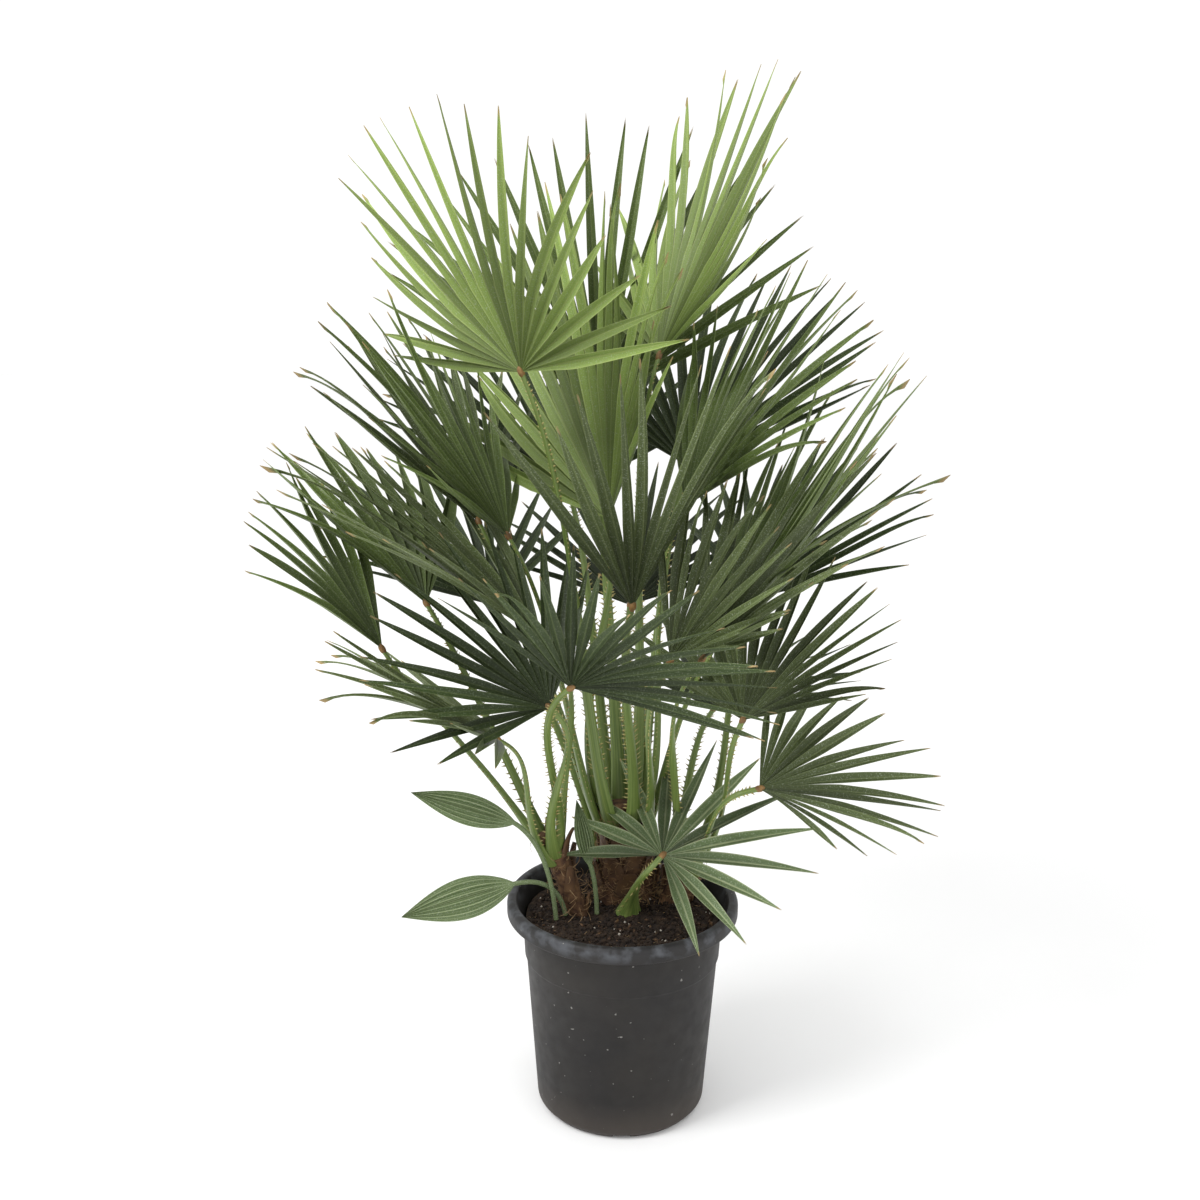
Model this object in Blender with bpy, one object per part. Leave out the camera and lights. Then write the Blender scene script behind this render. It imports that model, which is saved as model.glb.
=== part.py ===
"""Potted European fan palm: a clump of stems in a round nursery pot, each frond a limb and a palmate blade.

A stem stands on the soil with a flat cut. Each petiole is one tapering limb that leaves a stem, and carries at
its tip a fan of V-folded leaflets that are joined near the hub and free towards their points.
Metres, +Z up, origin at the centre of the pot's flat underside. The rows below are in centimetres and degrees.
"""

from collections import namedtuple
from math import cos, pi, radians, sin

import bmesh
import bpy
import numpy as np
from mathutils.bvhtree import BVHTree

CM = 0.01
GAP = 0.0003
CLEARANCE = 0.0006

# Pot: outer radii and heights of the wall, its step ring and its rolled lip.
POT_HEIGHT = 0.27
RIM_RADIUS = 0.140
MOUTH_RADIUS = 0.131
UNDER_LIP_RADIUS = 0.1235
STEP_RADIUS = 0.1185
BODY_TOP_RADIUS = 0.1165
BODY_FOOT_RADIUS = 0.1035
FOOT_RADIUS = 0.096
STEP_HEIGHT = 0.196
LIP_HEIGHT = 0.0185
FOOT_ROUNDING = 0.012
WALL = 0.003
FLOOR = 0.009
POT_SEGMENTS = 40
NOTCHES = 6
NOTCH_WIDTH = 0.020
NOTCH_HEIGHT = 0.005
NOTCH_DEPTH = 0.012

SOIL_LEVEL = 0.248
SOIL_SEGMENTS = 24

# Stems: foot centre, top centre and the radii there.
Stem = namedtuple("Stem", "name foot top foot_radius top_radius")
STEMS = {
    stem.name: stem
    for stem in (
        Stem("main", (0.5, 5.5), (0.0, 6.0, 36.5), 3.9, 2.5),
        Stem("left", (-5.4, 0.2), (-9.0, 0.4, 35.0), 1.2, 1.4),
        Stem("right", (6.6, 3.2), (8.6, 3.6, 33.0), 2.1, 1.4),
    )
}
STEM_SIDES = 12
STEM_RINGS = 6
BOOTS = 4
BOOT_RELIEF = 0.07
BOOT_TWIST = 1.3

# Where the fronds that rise straight out of the soil stand.
SOIL_FEET = {"h": (0.7, 0.3)}

# Fronds. turn: side of the stem that the petiole leaves; rise: height of its foot; hub: the blade's centre;
# bearing and lift: where the middle leaflet points; roll: turn of the blade about that line, 0 for an upper
# side that faces up; reach: length of the longest leaflet; cup: how far the outer leaflets rise out of the
# blade; flank: share of the reach that they have; joined: share of it that is one pleated sheet.
Frond = namedtuple(
    "Frond", "name stem turn rise hub bearing lift roll reach spread leaflets cup flank joined droop"
)
FRONDS = (
    Frond("a", "main", 235, 35.0, (-11.5, -8.0, 91.0), 205, 66, 165, 31.0, 176, 17, 0, 0.82, 0.34, 0.03),
    Frond("b", "main", 180, 36.5, (-2.0, 3.0, 73.0), 125, 73, 93, 40.5, 130, 15, 14, 0.75, 0.42, 0.02),
    Frond("c", "main", 60, 36.5, (3.5, 5.0, 91.5), 42, 68, 22, 36.0, 145, 15, 6, 0.80, 0.36, 0.03),
    Frond("d", "main", 340, 35.5, (6.5, -2.0, 75.5), 11, 62, -5, 31.5, 120, 14, 5, 0.85, 0.28, 0.03),
    Frond("e", "main", 95, 36.3, (-3.2, 20.0, 84.5), 90, 85, 10, 36.0, 127, 14, 5, 0.90, 0.30, 0.03),
    Frond("f", "right", 335, 31.0, (13.5, -4.0, 51.0), 50, 49, 3, 23.5, 160, 15, 20, 0.80, 0.28, 0.04),
    Frond("g", "right", 295, 28.5, (15.0, -10.0, 45.0), 15, 7, -29, 22.5, 140, 13, 20, 0.50, 0.18, 0.06),
    Frond("h", "soil", 300, 0, (4.5, -5.0, 34.5), 39, 31, -13, 20.5, 253, 13, 0, 0.58, 0.16, 0.06),
    Frond("k", "left", 232, 32.5, (-14.5, -8.0, 50.0), 191, 34, -7, 24.0, 165, 14, 4, 0.75, 0.22, 0.04),
    Frond("l", "left", 180, 34.8, (-27.5, -5.0, 59.5), 185, 59, 20, 24.5, 76, 7, 6, 0.85, 0.45, 0.04),
    Frond("m", "left", 280, 33.5, (-8.5, -9.0, 54.0), 179, 46, 44, 25.0, 140, 12, 12, 0.75, 0.20, 0.04),
    Frond("n", "left", 125, 34.0, (-23.0, 0.0, 63.5), 142, 48, -7, 27.5, 98, 9, 12, 0.90, 0.45, 0.03),
    Frond("o", "main", 195, 33.5, (-13.5, 0.0, 71.5), 162, 58, -10, 34.0, 141, 15, 4, 0.75, 0.28, 0.03),
    Frond("p", "main", 165, 33.0, (-17.5, 8.0, 71.5), 135, 51, -10, 30.0, 108, 12, 9, 0.88, 0.25, 0.05),
    Frond("q", "left", 25, 34.5, (-9.5, -4.5, 60.5), 176, 41, -2, 38.0, 112, 13, 14, 0.75, 0.14, 0.03),
    Frond("r", "main", 290, 34.0, (0.5, -12.0, 66.5), 299, 66, -10, 32.0, 84, 9, 17, 0.92, 0.18, 0.03),
    Frond("s", "left", 330, 34.2, (-6.0, -17.0, 59.0), 312, 38, 37, 24.0, 150, 15, 0, 0.85, 0.22, 0.05),
    Frond("t", "main", 10, 33.0, (11.0, 0.0, 59.5), 2, 59, -2, 41.0, 112, 13, 11, 0.75, 0.33, 0.03),
    Frond("u", "right", 215, 31.5, (8.0, -13.0, 61.0), 352, 56, -18, 30.5, 109, 12, 14, 0.75, 0.25, 0.04),
    Frond("ta", "main", 320, 32.0, (4.5, -15.0, 61.5), 340, 62, -60, 22.0, 90, 9, 5, 0.75, 0.15, 0.04),
    Frond("v", "main", 55, 33.0, (8.0, 22.0, 76.0), 60, 55, 0, 33.0, 140, 14, 10, 0.80, 0.28, 0.03),
    Frond("w", "main", 112, 32.8, (-7.0, 24.0, 72.0), 112, 50, 0, 33.0, 140, 14, 10, 0.80, 0.28, 0.03),
    Frond("x", "right", 45, 31.0, (17.0, 17.0, 60.0), 40, 45, 0, 29.0, 140, 13, 10, 0.80, 0.26, 0.04),
    Frond("y", "main", 145, 29.0, (-17.0, 20.0, 58.0), 135, 40, 0, 29.0, 140, 13, 10, 0.80, 0.26, 0.04),
    Frond("z", "main", 85, 31.0, (1.0, 28.0, 56.0), 85, 35, 0, 29.0, 150, 13, 10, 0.80, 0.26, 0.04),
    Frond("aa", "right", 110, 28.0, (12.0, 20.0, 44.0), 60, 20, 0, 23.0, 160, 12, 10, 0.80, 0.24, 0.06),
)

# Young leaves that are still folded: a thin petiole from foot to base, then a pleated lens up to the tip.
Bud = namedtuple("Bud", "name foot base tip half_width")
BUDS = (
    Bud("young_leaf_low", (-6.9, -1.0, 24.83), (-13.0, -4.0, 30.3), (-25.8, -8.0, 27.9), 2.3),
    Bud("young_leaf_high", (-8.0, -2.2, 24.83), (-12.9, -4.2, 38.2), (-24.7, -5.0, 42.2), 1.7),
    Bud("young_leaf_upright", (-3.1, -0.6, 24.83), (-4.0, -0.8, 31.5), (-5.6, -1.6, 40.0), 0.9),
)
BUD_PETIOLE = 0.0028
BUD_THICK = 0.0050
BUD_SIDES = 8
BUD_FACING = (0.0, -0.8, 0.6)
# Shares of a young leaf's length, and its half width and half thickness there as shares of the fullest.
BUD_STATIONS = (0.22, 0.45, 0.7, 0.9, 1.0)
BUD_WIDTHS = (0.72, 1.0, 0.72, 0.3, 0.03)
BUD_THICKS = (0.9, 1.0, 0.8, 0.5, 0.1)

PETIOLE_SIDES = 6
PETIOLE_SPANS = 6
PETIOLE_FOOT = 0.0085
PETIOLE_TIP = 0.0036
PETIOLE_FLATNESS = 0.62
# A petiole's curve: how far it heads out from its stem, and the shares of its span that it leaves and arrives
# straight for.
PETIOLE_SPLAY = 0.25
LEAVE_SHARE = 0.35
ARRIVE_SHARE = 0.25
HUB_STUB = 0.012
HUB_HALF_WIDTH = 0.005

LEAF_THICK = 0.0036
LEAF_HALF_WIDTH = 0.0095
FOLD = 0.55
MID_STATION = 0.43
BACK_BOW = 0.5
ROOM_SHARE = 0.42

# Forms that a leaflet may take, the fullest first: share of its free length, and its turn out of the blade.
REACHES = (1.0, 0.85, 0.7, 0.55, 0.4, 0.28)
TURNS_OUT = (0, 5, -5, 10, -10, 15, -15)
STUB_REACH = 0.16
CROWN_CENTRE = (0.0, 0.02, 0.62)

BLADE_GREEN = (0.115, 0.205, 0.060)
PETIOLE_GREEN = (0.200, 0.270, 0.060)
STEM_BROWN = (0.130, 0.070, 0.040)
SOIL_BROWN = (0.035, 0.022, 0.015)
POT_GREY = (0.045, 0.043, 0.042)


def material(name, colour, roughness):
    """A Principled material with one colour and roughness, not metallic."""
    made = bpy.data.materials.new(name)
    made.use_nodes = True
    shader = made.node_tree.nodes["Principled BSDF"]
    shader.inputs["Base Color"].default_value = (*colour, 1.0)
    shader.inputs["Roughness"].default_value = roughness
    shader.inputs["Metallic"].default_value = 0.0
    return made


def mesh_object(name, points, faces, finish, smooth_angle=None):
    """One named object from points and faces, with its material."""
    mesh = bpy.data.meshes.new(name)
    mesh.from_pydata([tuple(p) for p in points], [], faces)
    mesh.materials.append(finish)
    if smooth_angle is not None:
        mesh.shade_smooth()
        mesh.set_sharp_from_angle(angle=radians(smooth_angle))
    made = bpy.data.objects.new(name, mesh)
    bpy.context.scene.collection.objects.link(made)
    return made


def clear_scene():
    for old in list(bpy.data.objects):
        bpy.data.objects.remove(old, do_unlink=True)


def lathe(profile, segments):
    """Points and faces of a closed profile of (radius, height) turned about Z; radius 0 is a pole."""
    points, rings, faces = [], [], []
    for radius, height in profile:
        if radius == 0:
            rings.append([len(points)])
            points.append((0.0, 0.0, height))
            continue
        rings.append(list(range(len(points), len(points) + segments)))
        for k in range(segments):
            turn = 2 * pi * k / segments
            points.append((radius * cos(turn), radius * sin(turn), height))
    for low, high in zip(rings, rings[1:]):
        for k in range(segments):
            j = (k + 1) % segments
            if len(low) == 1:
                faces.append((low[0], high[j], high[k]))
            elif len(high) == 1:
                faces.append((low[k], low[j], high[0]))
            else:
                faces.append((low[k], low[j], high[j], high[k]))
    return points, faces


def pot_profile():
    """The wall from the centre of the underside, round the foot, up to the lip and down the inside."""
    outer = [(0.0, 0.0), (FOOT_RADIUS - 0.004, 0.0), (FOOT_RADIUS + 0.003, 0.003)]
    outer += [(BODY_FOOT_RADIUS, FOOT_ROUNDING)]
    outer += [(BODY_TOP_RADIUS, STEP_HEIGHT), (STEP_RADIUS, STEP_HEIGHT + 0.003)]
    lip = POT_HEIGHT - LIP_HEIGHT
    outer += [(STEP_RADIUS + 0.002, lip - 0.016), (UNDER_LIP_RADIUS, lip)]
    outer += [(RIM_RADIUS - 0.003, lip - 0.001), (RIM_RADIUS, lip + 0.003)]
    outer += [(RIM_RADIUS, POT_HEIGHT - 0.006), (RIM_RADIUS - 0.004, POT_HEIGHT - 0.001)]
    inner = [(MOUTH_RADIUS + 0.001, POT_HEIGHT), (MOUTH_RADIUS - 0.002, POT_HEIGHT - 0.005)]
    inner += [(STEP_RADIUS + 0.002 - WALL, lip - 0.016), (BODY_TOP_RADIUS - WALL, STEP_HEIGHT)]
    inner += [(BODY_FOOT_RADIUS - WALL, FLOOR + 0.004), (BODY_FOOT_RADIUS - WALL - 0.004, FLOOR)]
    inner += [(0.0, FLOOR)]
    return outer + inner


def notch_cutter():
    """Blocks across the foot's edge, joined in one mesh: the drainage notches."""
    cutter = bmesh.new()
    for k in range(NOTCHES):
        turn = -pi / 2 + 2 * pi * k / NOTCHES
        block = bmesh.ops.create_cube(cutter, size=1.0)["verts"]
        reach = FOOT_RADIUS + 0.012
        for v in block:
            along = reach - NOTCH_DEPTH + (v.co.x + 0.5) * (NOTCH_DEPTH + 0.01)
            across = v.co.y * NOTCH_WIDTH
            height = v.co.z * 2 * NOTCH_HEIGHT
            v.co = (along * cos(turn) - across * sin(turn), along * sin(turn) + across * cos(turn), height)
    mesh = bpy.data.meshes.new("notch_cutter")
    cutter.to_mesh(mesh)
    cutter.free()
    made = bpy.data.objects.new("notch_cutter", mesh)
    bpy.context.scene.collection.objects.link(made)
    made.hide_render = True
    made.display_type = "WIRE"
    return made


def build_pot(space):
    points, faces = lathe(pot_profile(), POT_SEGMENTS)
    pot = mesh_object("pot", points, faces, material("pot_plastic", POT_GREY, 0.7), smooth_angle=40)
    cut = pot.modifiers.new("drainage notches", "BOOLEAN")
    cut.operation = "DIFFERENCE"
    cut.object = notch_cutter()
    space.add("pot", points, faces)


def build_soil(space):
    """The filling: it follows the wall inside the pot, 0.3 mm clear, with a level top."""
    low, high = FLOOR + GAP, SOIL_LEVEL
    wall = BODY_TOP_RADIUS - WALL - 2 * GAP
    foot = BODY_FOOT_RADIUS - WALL - 2 * GAP
    profile = [(0.0, low), (foot - 0.006, low), (foot, low + 0.006)]
    profile += [(wall, STEP_HEIGHT), (wall + 0.003, SOIL_LEVEL - 0.012), (wall, high - 0.002)]
    profile += [(wall - 0.012, high), (0.0, high)]
    points, faces = lathe(profile, SOIL_SEGMENTS)
    mesh_object("soil", points, faces, material("soil", SOIL_BROWN, 0.95), smooth_angle=40)
    space.add("soil", points, faces)


def ring_faces(rings, sides):
    """Quads between rings of the same count, and a flat polygon at each end."""
    faces = [tuple(reversed(range(sides)))]
    for k in range(rings - 1):
        for i in range(sides):
            j = (i + 1) % sides
            faces.append((k * sides + i, k * sides + j, (k + 1) * sides + j, (k + 1) * sides + i))
    faces.append(tuple(range((rings - 1) * sides, rings * sides)))
    return faces


def stem_centre(stem, height):
    """Centre and radius of a stem at a height in metres."""
    foot = np.array((*stem.foot, SOIL_LEVEL / CM)) * CM
    top = np.array(stem.top) * CM
    share = (height - foot[2]) / (top[2] - foot[2])
    flare = max(0.0, 1 - share) ** 2
    radius = (stem.top_radius + (stem.foot_radius - stem.top_radius) * flare) * CM
    return foot + (top - foot) * share, radius


def petiole_foot(frond):
    """Where a petiole's centre line starts: on the soil, or against the side of its stem."""
    if frond.stem == "soil":
        return np.array((*SOIL_FEET[frond.name], 0.0)) * CM + np.array((0.0, 0.0, SOIL_LEVEL + GAP))
    centre, radius = stem_centre(STEMS[frond.stem], frond.rise * CM)
    out = np.array((cos(radians(frond.turn)), sin(radians(frond.turn)), 0.0))
    return centre + out * (radius * (1 + BOOT_RELIEF) + PETIOLE_FOOT * PETIOLE_FLATNESS + CLEARANCE)


def build_stem(stem, space, finish):
    """Rings from the flat cut on the soil to the top, lobed by the old leaf bases that wrap it in a spiral."""
    points = []
    for k in range(STEM_RINGS):
        height = SOIL_LEVEL + GAP + (stem.top[2] * CM - SOIL_LEVEL - GAP) * k / (STEM_RINGS - 1)
        centre, radius = stem_centre(stem, height)
        for i in range(STEM_SIDES):
            turn = 2 * pi * i / STEM_SIDES
            lobe = 1 + BOOT_RELIEF * cos(BOOTS * turn + BOOT_TWIST * k)
            points.append(centre + np.array((cos(turn), sin(turn), 0.0)) * radius * lobe)
    faces = ring_faces(STEM_RINGS, STEM_SIDES)
    mesh_object("stem_" + stem.name, points, faces, finish, smooth_angle=50)
    space.add("stem_" + stem.name, points, faces)


def blade_frame(frond):
    """Unit vectors of a blade: along its middle leaflet, across it, and out of its upper side."""
    bearing, lift, roll = (radians(v) for v in (frond.bearing, frond.lift, frond.roll))
    along = np.array((cos(lift) * cos(bearing), cos(lift) * sin(bearing), sin(lift)))
    level = np.array((sin(bearing), -cos(bearing), 0.0))
    up = np.cross(level, along)
    across = cos(roll) * level + sin(roll) * up
    upper = cos(roll) * up - sin(roll) * level
    return along, across, upper


def stem_lean(frond):
    """How far a frond's stem goes along for each unit that it rises."""
    if frond.stem == "soil":
        return np.array((0.0, 0.0, 1.0))
    stem = STEMS[frond.stem]
    lean = np.array(stem.top) - np.array((*stem.foot, SOIL_LEVEL / CM))
    return lean / lean[2]


def petiole_path(frond):
    """A cubic curve from the stem's side to just behind the blade's hub, in line with the blade there."""
    foot = petiole_foot(frond)
    out = np.array((cos(radians(frond.turn)), sin(radians(frond.turn)), 0.0))
    along, _, _ = blade_frame(frond)
    end = np.array(frond.hub) * CM - along * (HUB_STUB + GAP)
    span = np.linalg.norm(end - foot)
    leave = stem_lean(frond) + PETIOLE_SPLAY * out
    first = foot + leave * span * LEAVE_SHARE
    last = end - along * span * ARRIVE_SHARE
    share = np.linspace(0, 1, PETIOLE_SPANS + 1)[:, None]
    rest = 1 - share
    return rest**3 * foot + 3 * rest**2 * share * first + 3 * rest * share**2 * last + share**3 * end


def petiole_points(frond):
    """Rings of a flattened oval section along the path, wide at the foot and slim at the tip."""
    path = petiole_path(frond)
    along, across, upper = blade_frame(frond)
    heading = np.gradient(path, axis=0)
    heading /= np.linalg.norm(heading, axis=1)[:, None]
    heading[0] = stem_lean(frond) / np.linalg.norm(stem_lean(frond))
    heading[-1] = along
    out = np.array((cos(radians(frond.turn)), sin(radians(frond.turn)), 0.0))
    share = np.linspace(0, 1, len(path))
    width = PETIOLE_TIP + (PETIOLE_FOOT - PETIOLE_TIP) * (1 - share) ** 1.5
    points = []
    for k, centre in enumerate(path):
        side = np.cross(out, (0.0, 0.0, 1.0)) * (1 - share[k]) + across * share[k]
        side -= heading[k] * (side @ heading[k])
        side /= np.linalg.norm(side)
        thick = np.cross(heading[k], side)
        for i in range(PETIOLE_SIDES):
            turn = 2 * pi * i / PETIOLE_SIDES
            points.append(centre + width[k] * (cos(turn) * side + sin(turn) * PETIOLE_FLATNESS * thick))
    return points


def leaf_point(frond, angle, share, raised=0.0):
    """Point on a leaflet's line: out from the hub at an angle in the blade, the sides lifted into a shallow
    cup and shortened, the far end bowed back and down."""
    along, across, upper = blade_frame(frond)
    edge = angle / radians(frond.spread / 2)
    length = frond.reach * CM * (1 - (1 - frond.flank) * edge**2)
    cup = radians(frond.cup) * edge**2 + raised
    flat = cos(angle) * along + sin(angle) * across
    line = cos(cup) * flat + sin(cup) * upper
    bow = -upper * BACK_BOW * frond.droop - np.array((0.0, 0.0, frond.droop))
    return np.array(frond.hub) * CM + length * (share * line + share**2 * bow)


def blade_core(frond):
    """The pleated sheet round the hub: centre, stub and ridge points, as arrays for top and bottom."""
    along, across, upper = blade_frame(frond)
    hub = np.array(frond.hub) * CM
    half = LEAF_THICK / 2 * upper
    step = radians(frond.spread) / frond.leaflets
    start = -radians(frond.spread) / 2
    fold = FOLD * frond.joined * frond.reach * CM * sin(step / 2)
    ridges, folds = [], []
    for k in range(frond.leaflets + 1):
        ridges.append(leaf_point(frond, start + k * step, frond.joined) + fold * upper)
    for k in range(frond.leaflets):
        folds.append(leaf_point(frond, start + (k + 0.5) * step, frond.joined) - fold * upper)
    back = hub - along * HUB_STUB
    stub = [back - across * HUB_HALF_WIDTH, back + across * HUB_HALF_WIDTH]
    return [hub], stub, ridges, folds, half


def leaflet(frond, k, raised=0.0, reach=1.0, extra=0.0):
    """A free leaflet's mid station (left, right, top and bottom of the fold) and its tip; extra is a skin
    added all round it."""
    _, _, upper = blade_frame(frond)
    step = radians(frond.spread) / frond.leaflets
    angle = -radians(frond.spread) / 2 + (k + 0.5) * step
    tip_share = frond.joined + (1 - frond.joined) * reach
    mid_share = frond.joined + (tip_share - frond.joined) * MID_STATION
    middle = leaf_point(frond, angle, mid_share, raised)
    tip = leaf_point(frond, angle, tip_share, raised)
    line = tip - middle
    line /= np.linalg.norm(line)
    side = np.cross(line, upper)
    side /= np.linalg.norm(side)
    face = np.cross(side, line)
    room = np.linalg.norm(middle - np.array(frond.hub) * CM) * step * ROOM_SHARE
    width = min(LEAF_HALF_WIDTH, room)
    lift = FOLD * width * 0.5 * face
    thick = (LEAF_THICK / 2 + extra) * face
    left = middle - side * (width + extra) + lift
    right = middle + side * (width + extra) + lift
    return [left, right, middle - lift + thick, middle - lift - thick, tip + line * extra]


def leaflet_faces(a, b, m, low_a, low_b, low_m, start):
    """Faces of one leaflet from the two ridges and the fold of the sheet, above and below, to its tip."""
    left, right, top, bottom, tip = range(start, start + 5)
    return [
        (a, left, top, m), (m, top, right, b),
        (low_a, low_m, bottom, left), (low_m, low_b, right, bottom),
        (a, low_a, left), (b, right, low_b),
        (left, tip, top), (top, tip, right), (left, bottom, tip), (bottom, right, tip),
    ]


def blade_mesh(frond, leaves):
    """Points and faces of a whole blade from its sheet and one list of leaflet points for each leaflet."""
    hub, stub, ridges, folds, half = blade_core(frond)
    flat = hub + stub + ridges + folds
    points = [p + half for p in flat] + [p - half for p in flat]
    low = len(flat)
    ridge = len(hub) + len(stub)
    fold = ridge + len(ridges)
    last = fold - 1
    faces = [(0, 1, ridge), (0, last, 2), (0, 2, 1)]
    faces += [(low, low + ridge, low + 1), (low, low + 2, low + last), (low, low + 1, low + 2)]
    faces += [(1, low + 1, low + ridge, ridge), (last, low + last, low + 2, 2), (2, low + 2, low + 1, 1)]
    for k, leaf in enumerate(leaves):
        a, b, m = ridge + k, ridge + k + 1, fold + k
        faces += [(0, a, m), (0, m, b), (low, low + m, low + a), (low, low + b, low + m)]
        faces += leaflet_faces(a, b, m, low + a, low + b, low + m, len(points))
        points += leaf
    return points, [tuple(reversed(face)) for face in faces]


def leaflet_solid(frond, k, leaf):
    """One leaflet alone as a closed solid, cut off at the edge of its sheet."""
    _, _, ridges, folds, half = blade_core(frond)
    root = [ridges[k], ridges[k + 1], folds[k]]
    points = [p + half for p in root] + [p - half for p in root] + leaf
    faces = leaflet_faces(0, 1, 2, 3, 4, 5, 6) + [(0, 2, 5, 3), (2, 1, 4, 5)]
    return points, faces


class Space:
    """The solids placed so far, each with its owner, its box and a tree for exact tests."""

    def __init__(self):
        self.owners, self.trees = [], []
        self.lows, self.highs = [], []

    def add(self, owner, points, faces):
        corners = np.array(points)
        self.owners.append(owner)
        self.lows.append(corners.min(axis=0))
        self.highs.append(corners.max(axis=0))
        self.trees.append(tree_of(points, faces))

    def meets(self, owner, points, faces):
        """Owners of the solids that a new one would meet, its own owner's left out."""
        corners = np.array(points)
        near = (np.array(self.lows) <= corners.max(axis=0)) & (np.array(self.highs) >= corners.min(axis=0))
        tree = tree_of(points, faces)
        return [
            self.owners[i]
            for i in np.flatnonzero(near.all(axis=1))
            if self.owners[i] != owner and tree.overlap(self.trees[i])
        ]


def tree_of(points, faces):
    return BVHTree.FromPolygons([tuple(p) for p in points], faces)


def build_petioles(space, finish):
    for frond in FRONDS:
        points = petiole_points(frond)
        faces = ring_faces(PETIOLE_SPANS + 1, PETIOLE_SIDES)
        mesh_object("petiole_" + frond.name, points, faces, finish, smooth_angle=60)
        space.add("petiole_" + frond.name, points, faces)


def bud_points(bud):
    """Rings of a flattened section: slim along an arched petiole, then swelling and closing up to the tip."""
    foot, base, tip = (np.array(p) * CM for p in (bud.foot, bud.base, bud.tip))
    span = np.linalg.norm(base - foot)
    bend = foot + np.array((0.0, 0.0, 0.55 * span)) + 0.15 * (base - foot)
    stalk = [(1 - t) ** 2 * foot + 2 * t * (1 - t) * bend + t**2 * base for t in (0, 0.25, 0.5, 0.75, 1)]
    blade = [base + (tip - base) * t for t in BUD_STATIONS]
    path = np.array(stalk + blade)
    widths = [BUD_PETIOLE] * len(stalk) + [bud.half_width * CM * w for w in BUD_WIDTHS]
    thicks = [BUD_PETIOLE * 0.8] * len(stalk) + [BUD_THICK * w for w in BUD_THICKS]
    heading = np.gradient(path, axis=0)
    heading[0] = (0.0, 0.0, 1.0)
    points = []
    for centre, ahead, width, thick in zip(path, heading, widths, thicks):
        side = np.cross(ahead, BUD_FACING)
        side /= np.linalg.norm(side)
        out = np.cross(side, ahead)
        out /= np.linalg.norm(out)
        for i in range(BUD_SIDES):
            turn = 2 * pi * i / BUD_SIDES
            points.append(centre + width * cos(turn) * side - thick * sin(turn) * out)
    return points


def build_buds(space, finish):
    for bud in BUDS:
        points = bud_points(bud)
        faces = ring_faces(len(points) // BUD_SIDES, BUD_SIDES)
        mesh_object(bud.name, points, faces, finish, smooth_angle=40)
        space.add(bud.name, points, faces)


def leaflet_forms():
    return [(reach, turn) for reach in REACHES for turn in TURNS_OUT]


def grow_leaflets(space):
    """Each frond's leaflets, all starting as stubs that its sheet carries. The leaflets whose tips lie
    furthest out grow first, each to the fullest form that meets nothing placed before it."""
    grown = {f.name: [leaflet(f, k, reach=STUB_REACH) for k in range(f.leaflets)] for f in FRONDS}
    for frond in FRONDS:
        points, faces = blade_mesh(frond, grown[frond.name])
        space.add("blade_" + frond.name, points, faces)
    order = [(frond, k) for frond in FRONDS for k in range(frond.leaflets)]
    order.sort(key=lambda pick: -np.linalg.norm(leaflet(*pick)[-1] - CROWN_CENTRE))
    for frond, k in order:
        owner = "blade_" + frond.name
        for reach, turn in leaflet_forms():
            raised = radians(turn)
            test = leaflet_solid(frond, k, leaflet(frond, k, raised, reach, extra=CLEARANCE))
            if not space.meets(owner, *test):
                grown[frond.name][k] = leaflet(frond, k, raised, reach)
                space.add(owner, *leaflet_solid(frond, k, grown[frond.name][k]))
                break
    return grown


def build_blades(space, finish):
    grown = grow_leaflets(space)
    for frond in FRONDS:
        points, faces = blade_mesh(frond, grown[frond.name])
        mesh_object("blade_" + frond.name, points, faces, finish)


def main():
    clear_scene()
    space = Space()
    build_pot(space)
    build_soil(space)
    bark = material("stem_fibre", STEM_BROWN, 0.85)
    for stem in STEMS.values():
        build_stem(stem, space, bark)
    build_petioles(space, material("petiole", PETIOLE_GREEN, 0.5))
    green = material("leaf", BLADE_GREEN, 0.55)
    build_buds(space, green)
    build_blades(space, green)


main()
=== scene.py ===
"""Potted European fan palm: finish, fine fronds, spiny petioles, fibrous stems, soil and pot."""
from collections import namedtuple
from math import pi, radians

import bpy
import numpy as np
from mathutils import Matrix, Vector


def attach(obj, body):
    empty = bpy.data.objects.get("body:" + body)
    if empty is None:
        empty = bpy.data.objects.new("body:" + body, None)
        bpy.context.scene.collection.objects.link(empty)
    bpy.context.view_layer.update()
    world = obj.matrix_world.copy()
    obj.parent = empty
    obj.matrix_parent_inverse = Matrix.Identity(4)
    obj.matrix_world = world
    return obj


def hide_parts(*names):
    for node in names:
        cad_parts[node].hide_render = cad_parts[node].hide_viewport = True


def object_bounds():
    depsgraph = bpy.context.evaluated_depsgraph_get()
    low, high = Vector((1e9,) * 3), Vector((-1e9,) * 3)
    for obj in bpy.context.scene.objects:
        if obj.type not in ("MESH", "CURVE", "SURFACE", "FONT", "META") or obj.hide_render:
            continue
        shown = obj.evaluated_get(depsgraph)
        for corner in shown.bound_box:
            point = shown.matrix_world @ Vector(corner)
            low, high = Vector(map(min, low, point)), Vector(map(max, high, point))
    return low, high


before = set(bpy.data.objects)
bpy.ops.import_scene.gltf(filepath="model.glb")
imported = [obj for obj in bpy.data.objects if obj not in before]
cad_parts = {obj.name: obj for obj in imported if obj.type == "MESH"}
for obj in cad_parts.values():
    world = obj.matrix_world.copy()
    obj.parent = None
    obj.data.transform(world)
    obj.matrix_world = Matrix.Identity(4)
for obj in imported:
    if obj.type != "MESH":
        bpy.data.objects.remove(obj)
cad_box = [list(corner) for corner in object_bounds()]

CM = 0.01
GAP = 0.0003
SEED = 11

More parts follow.
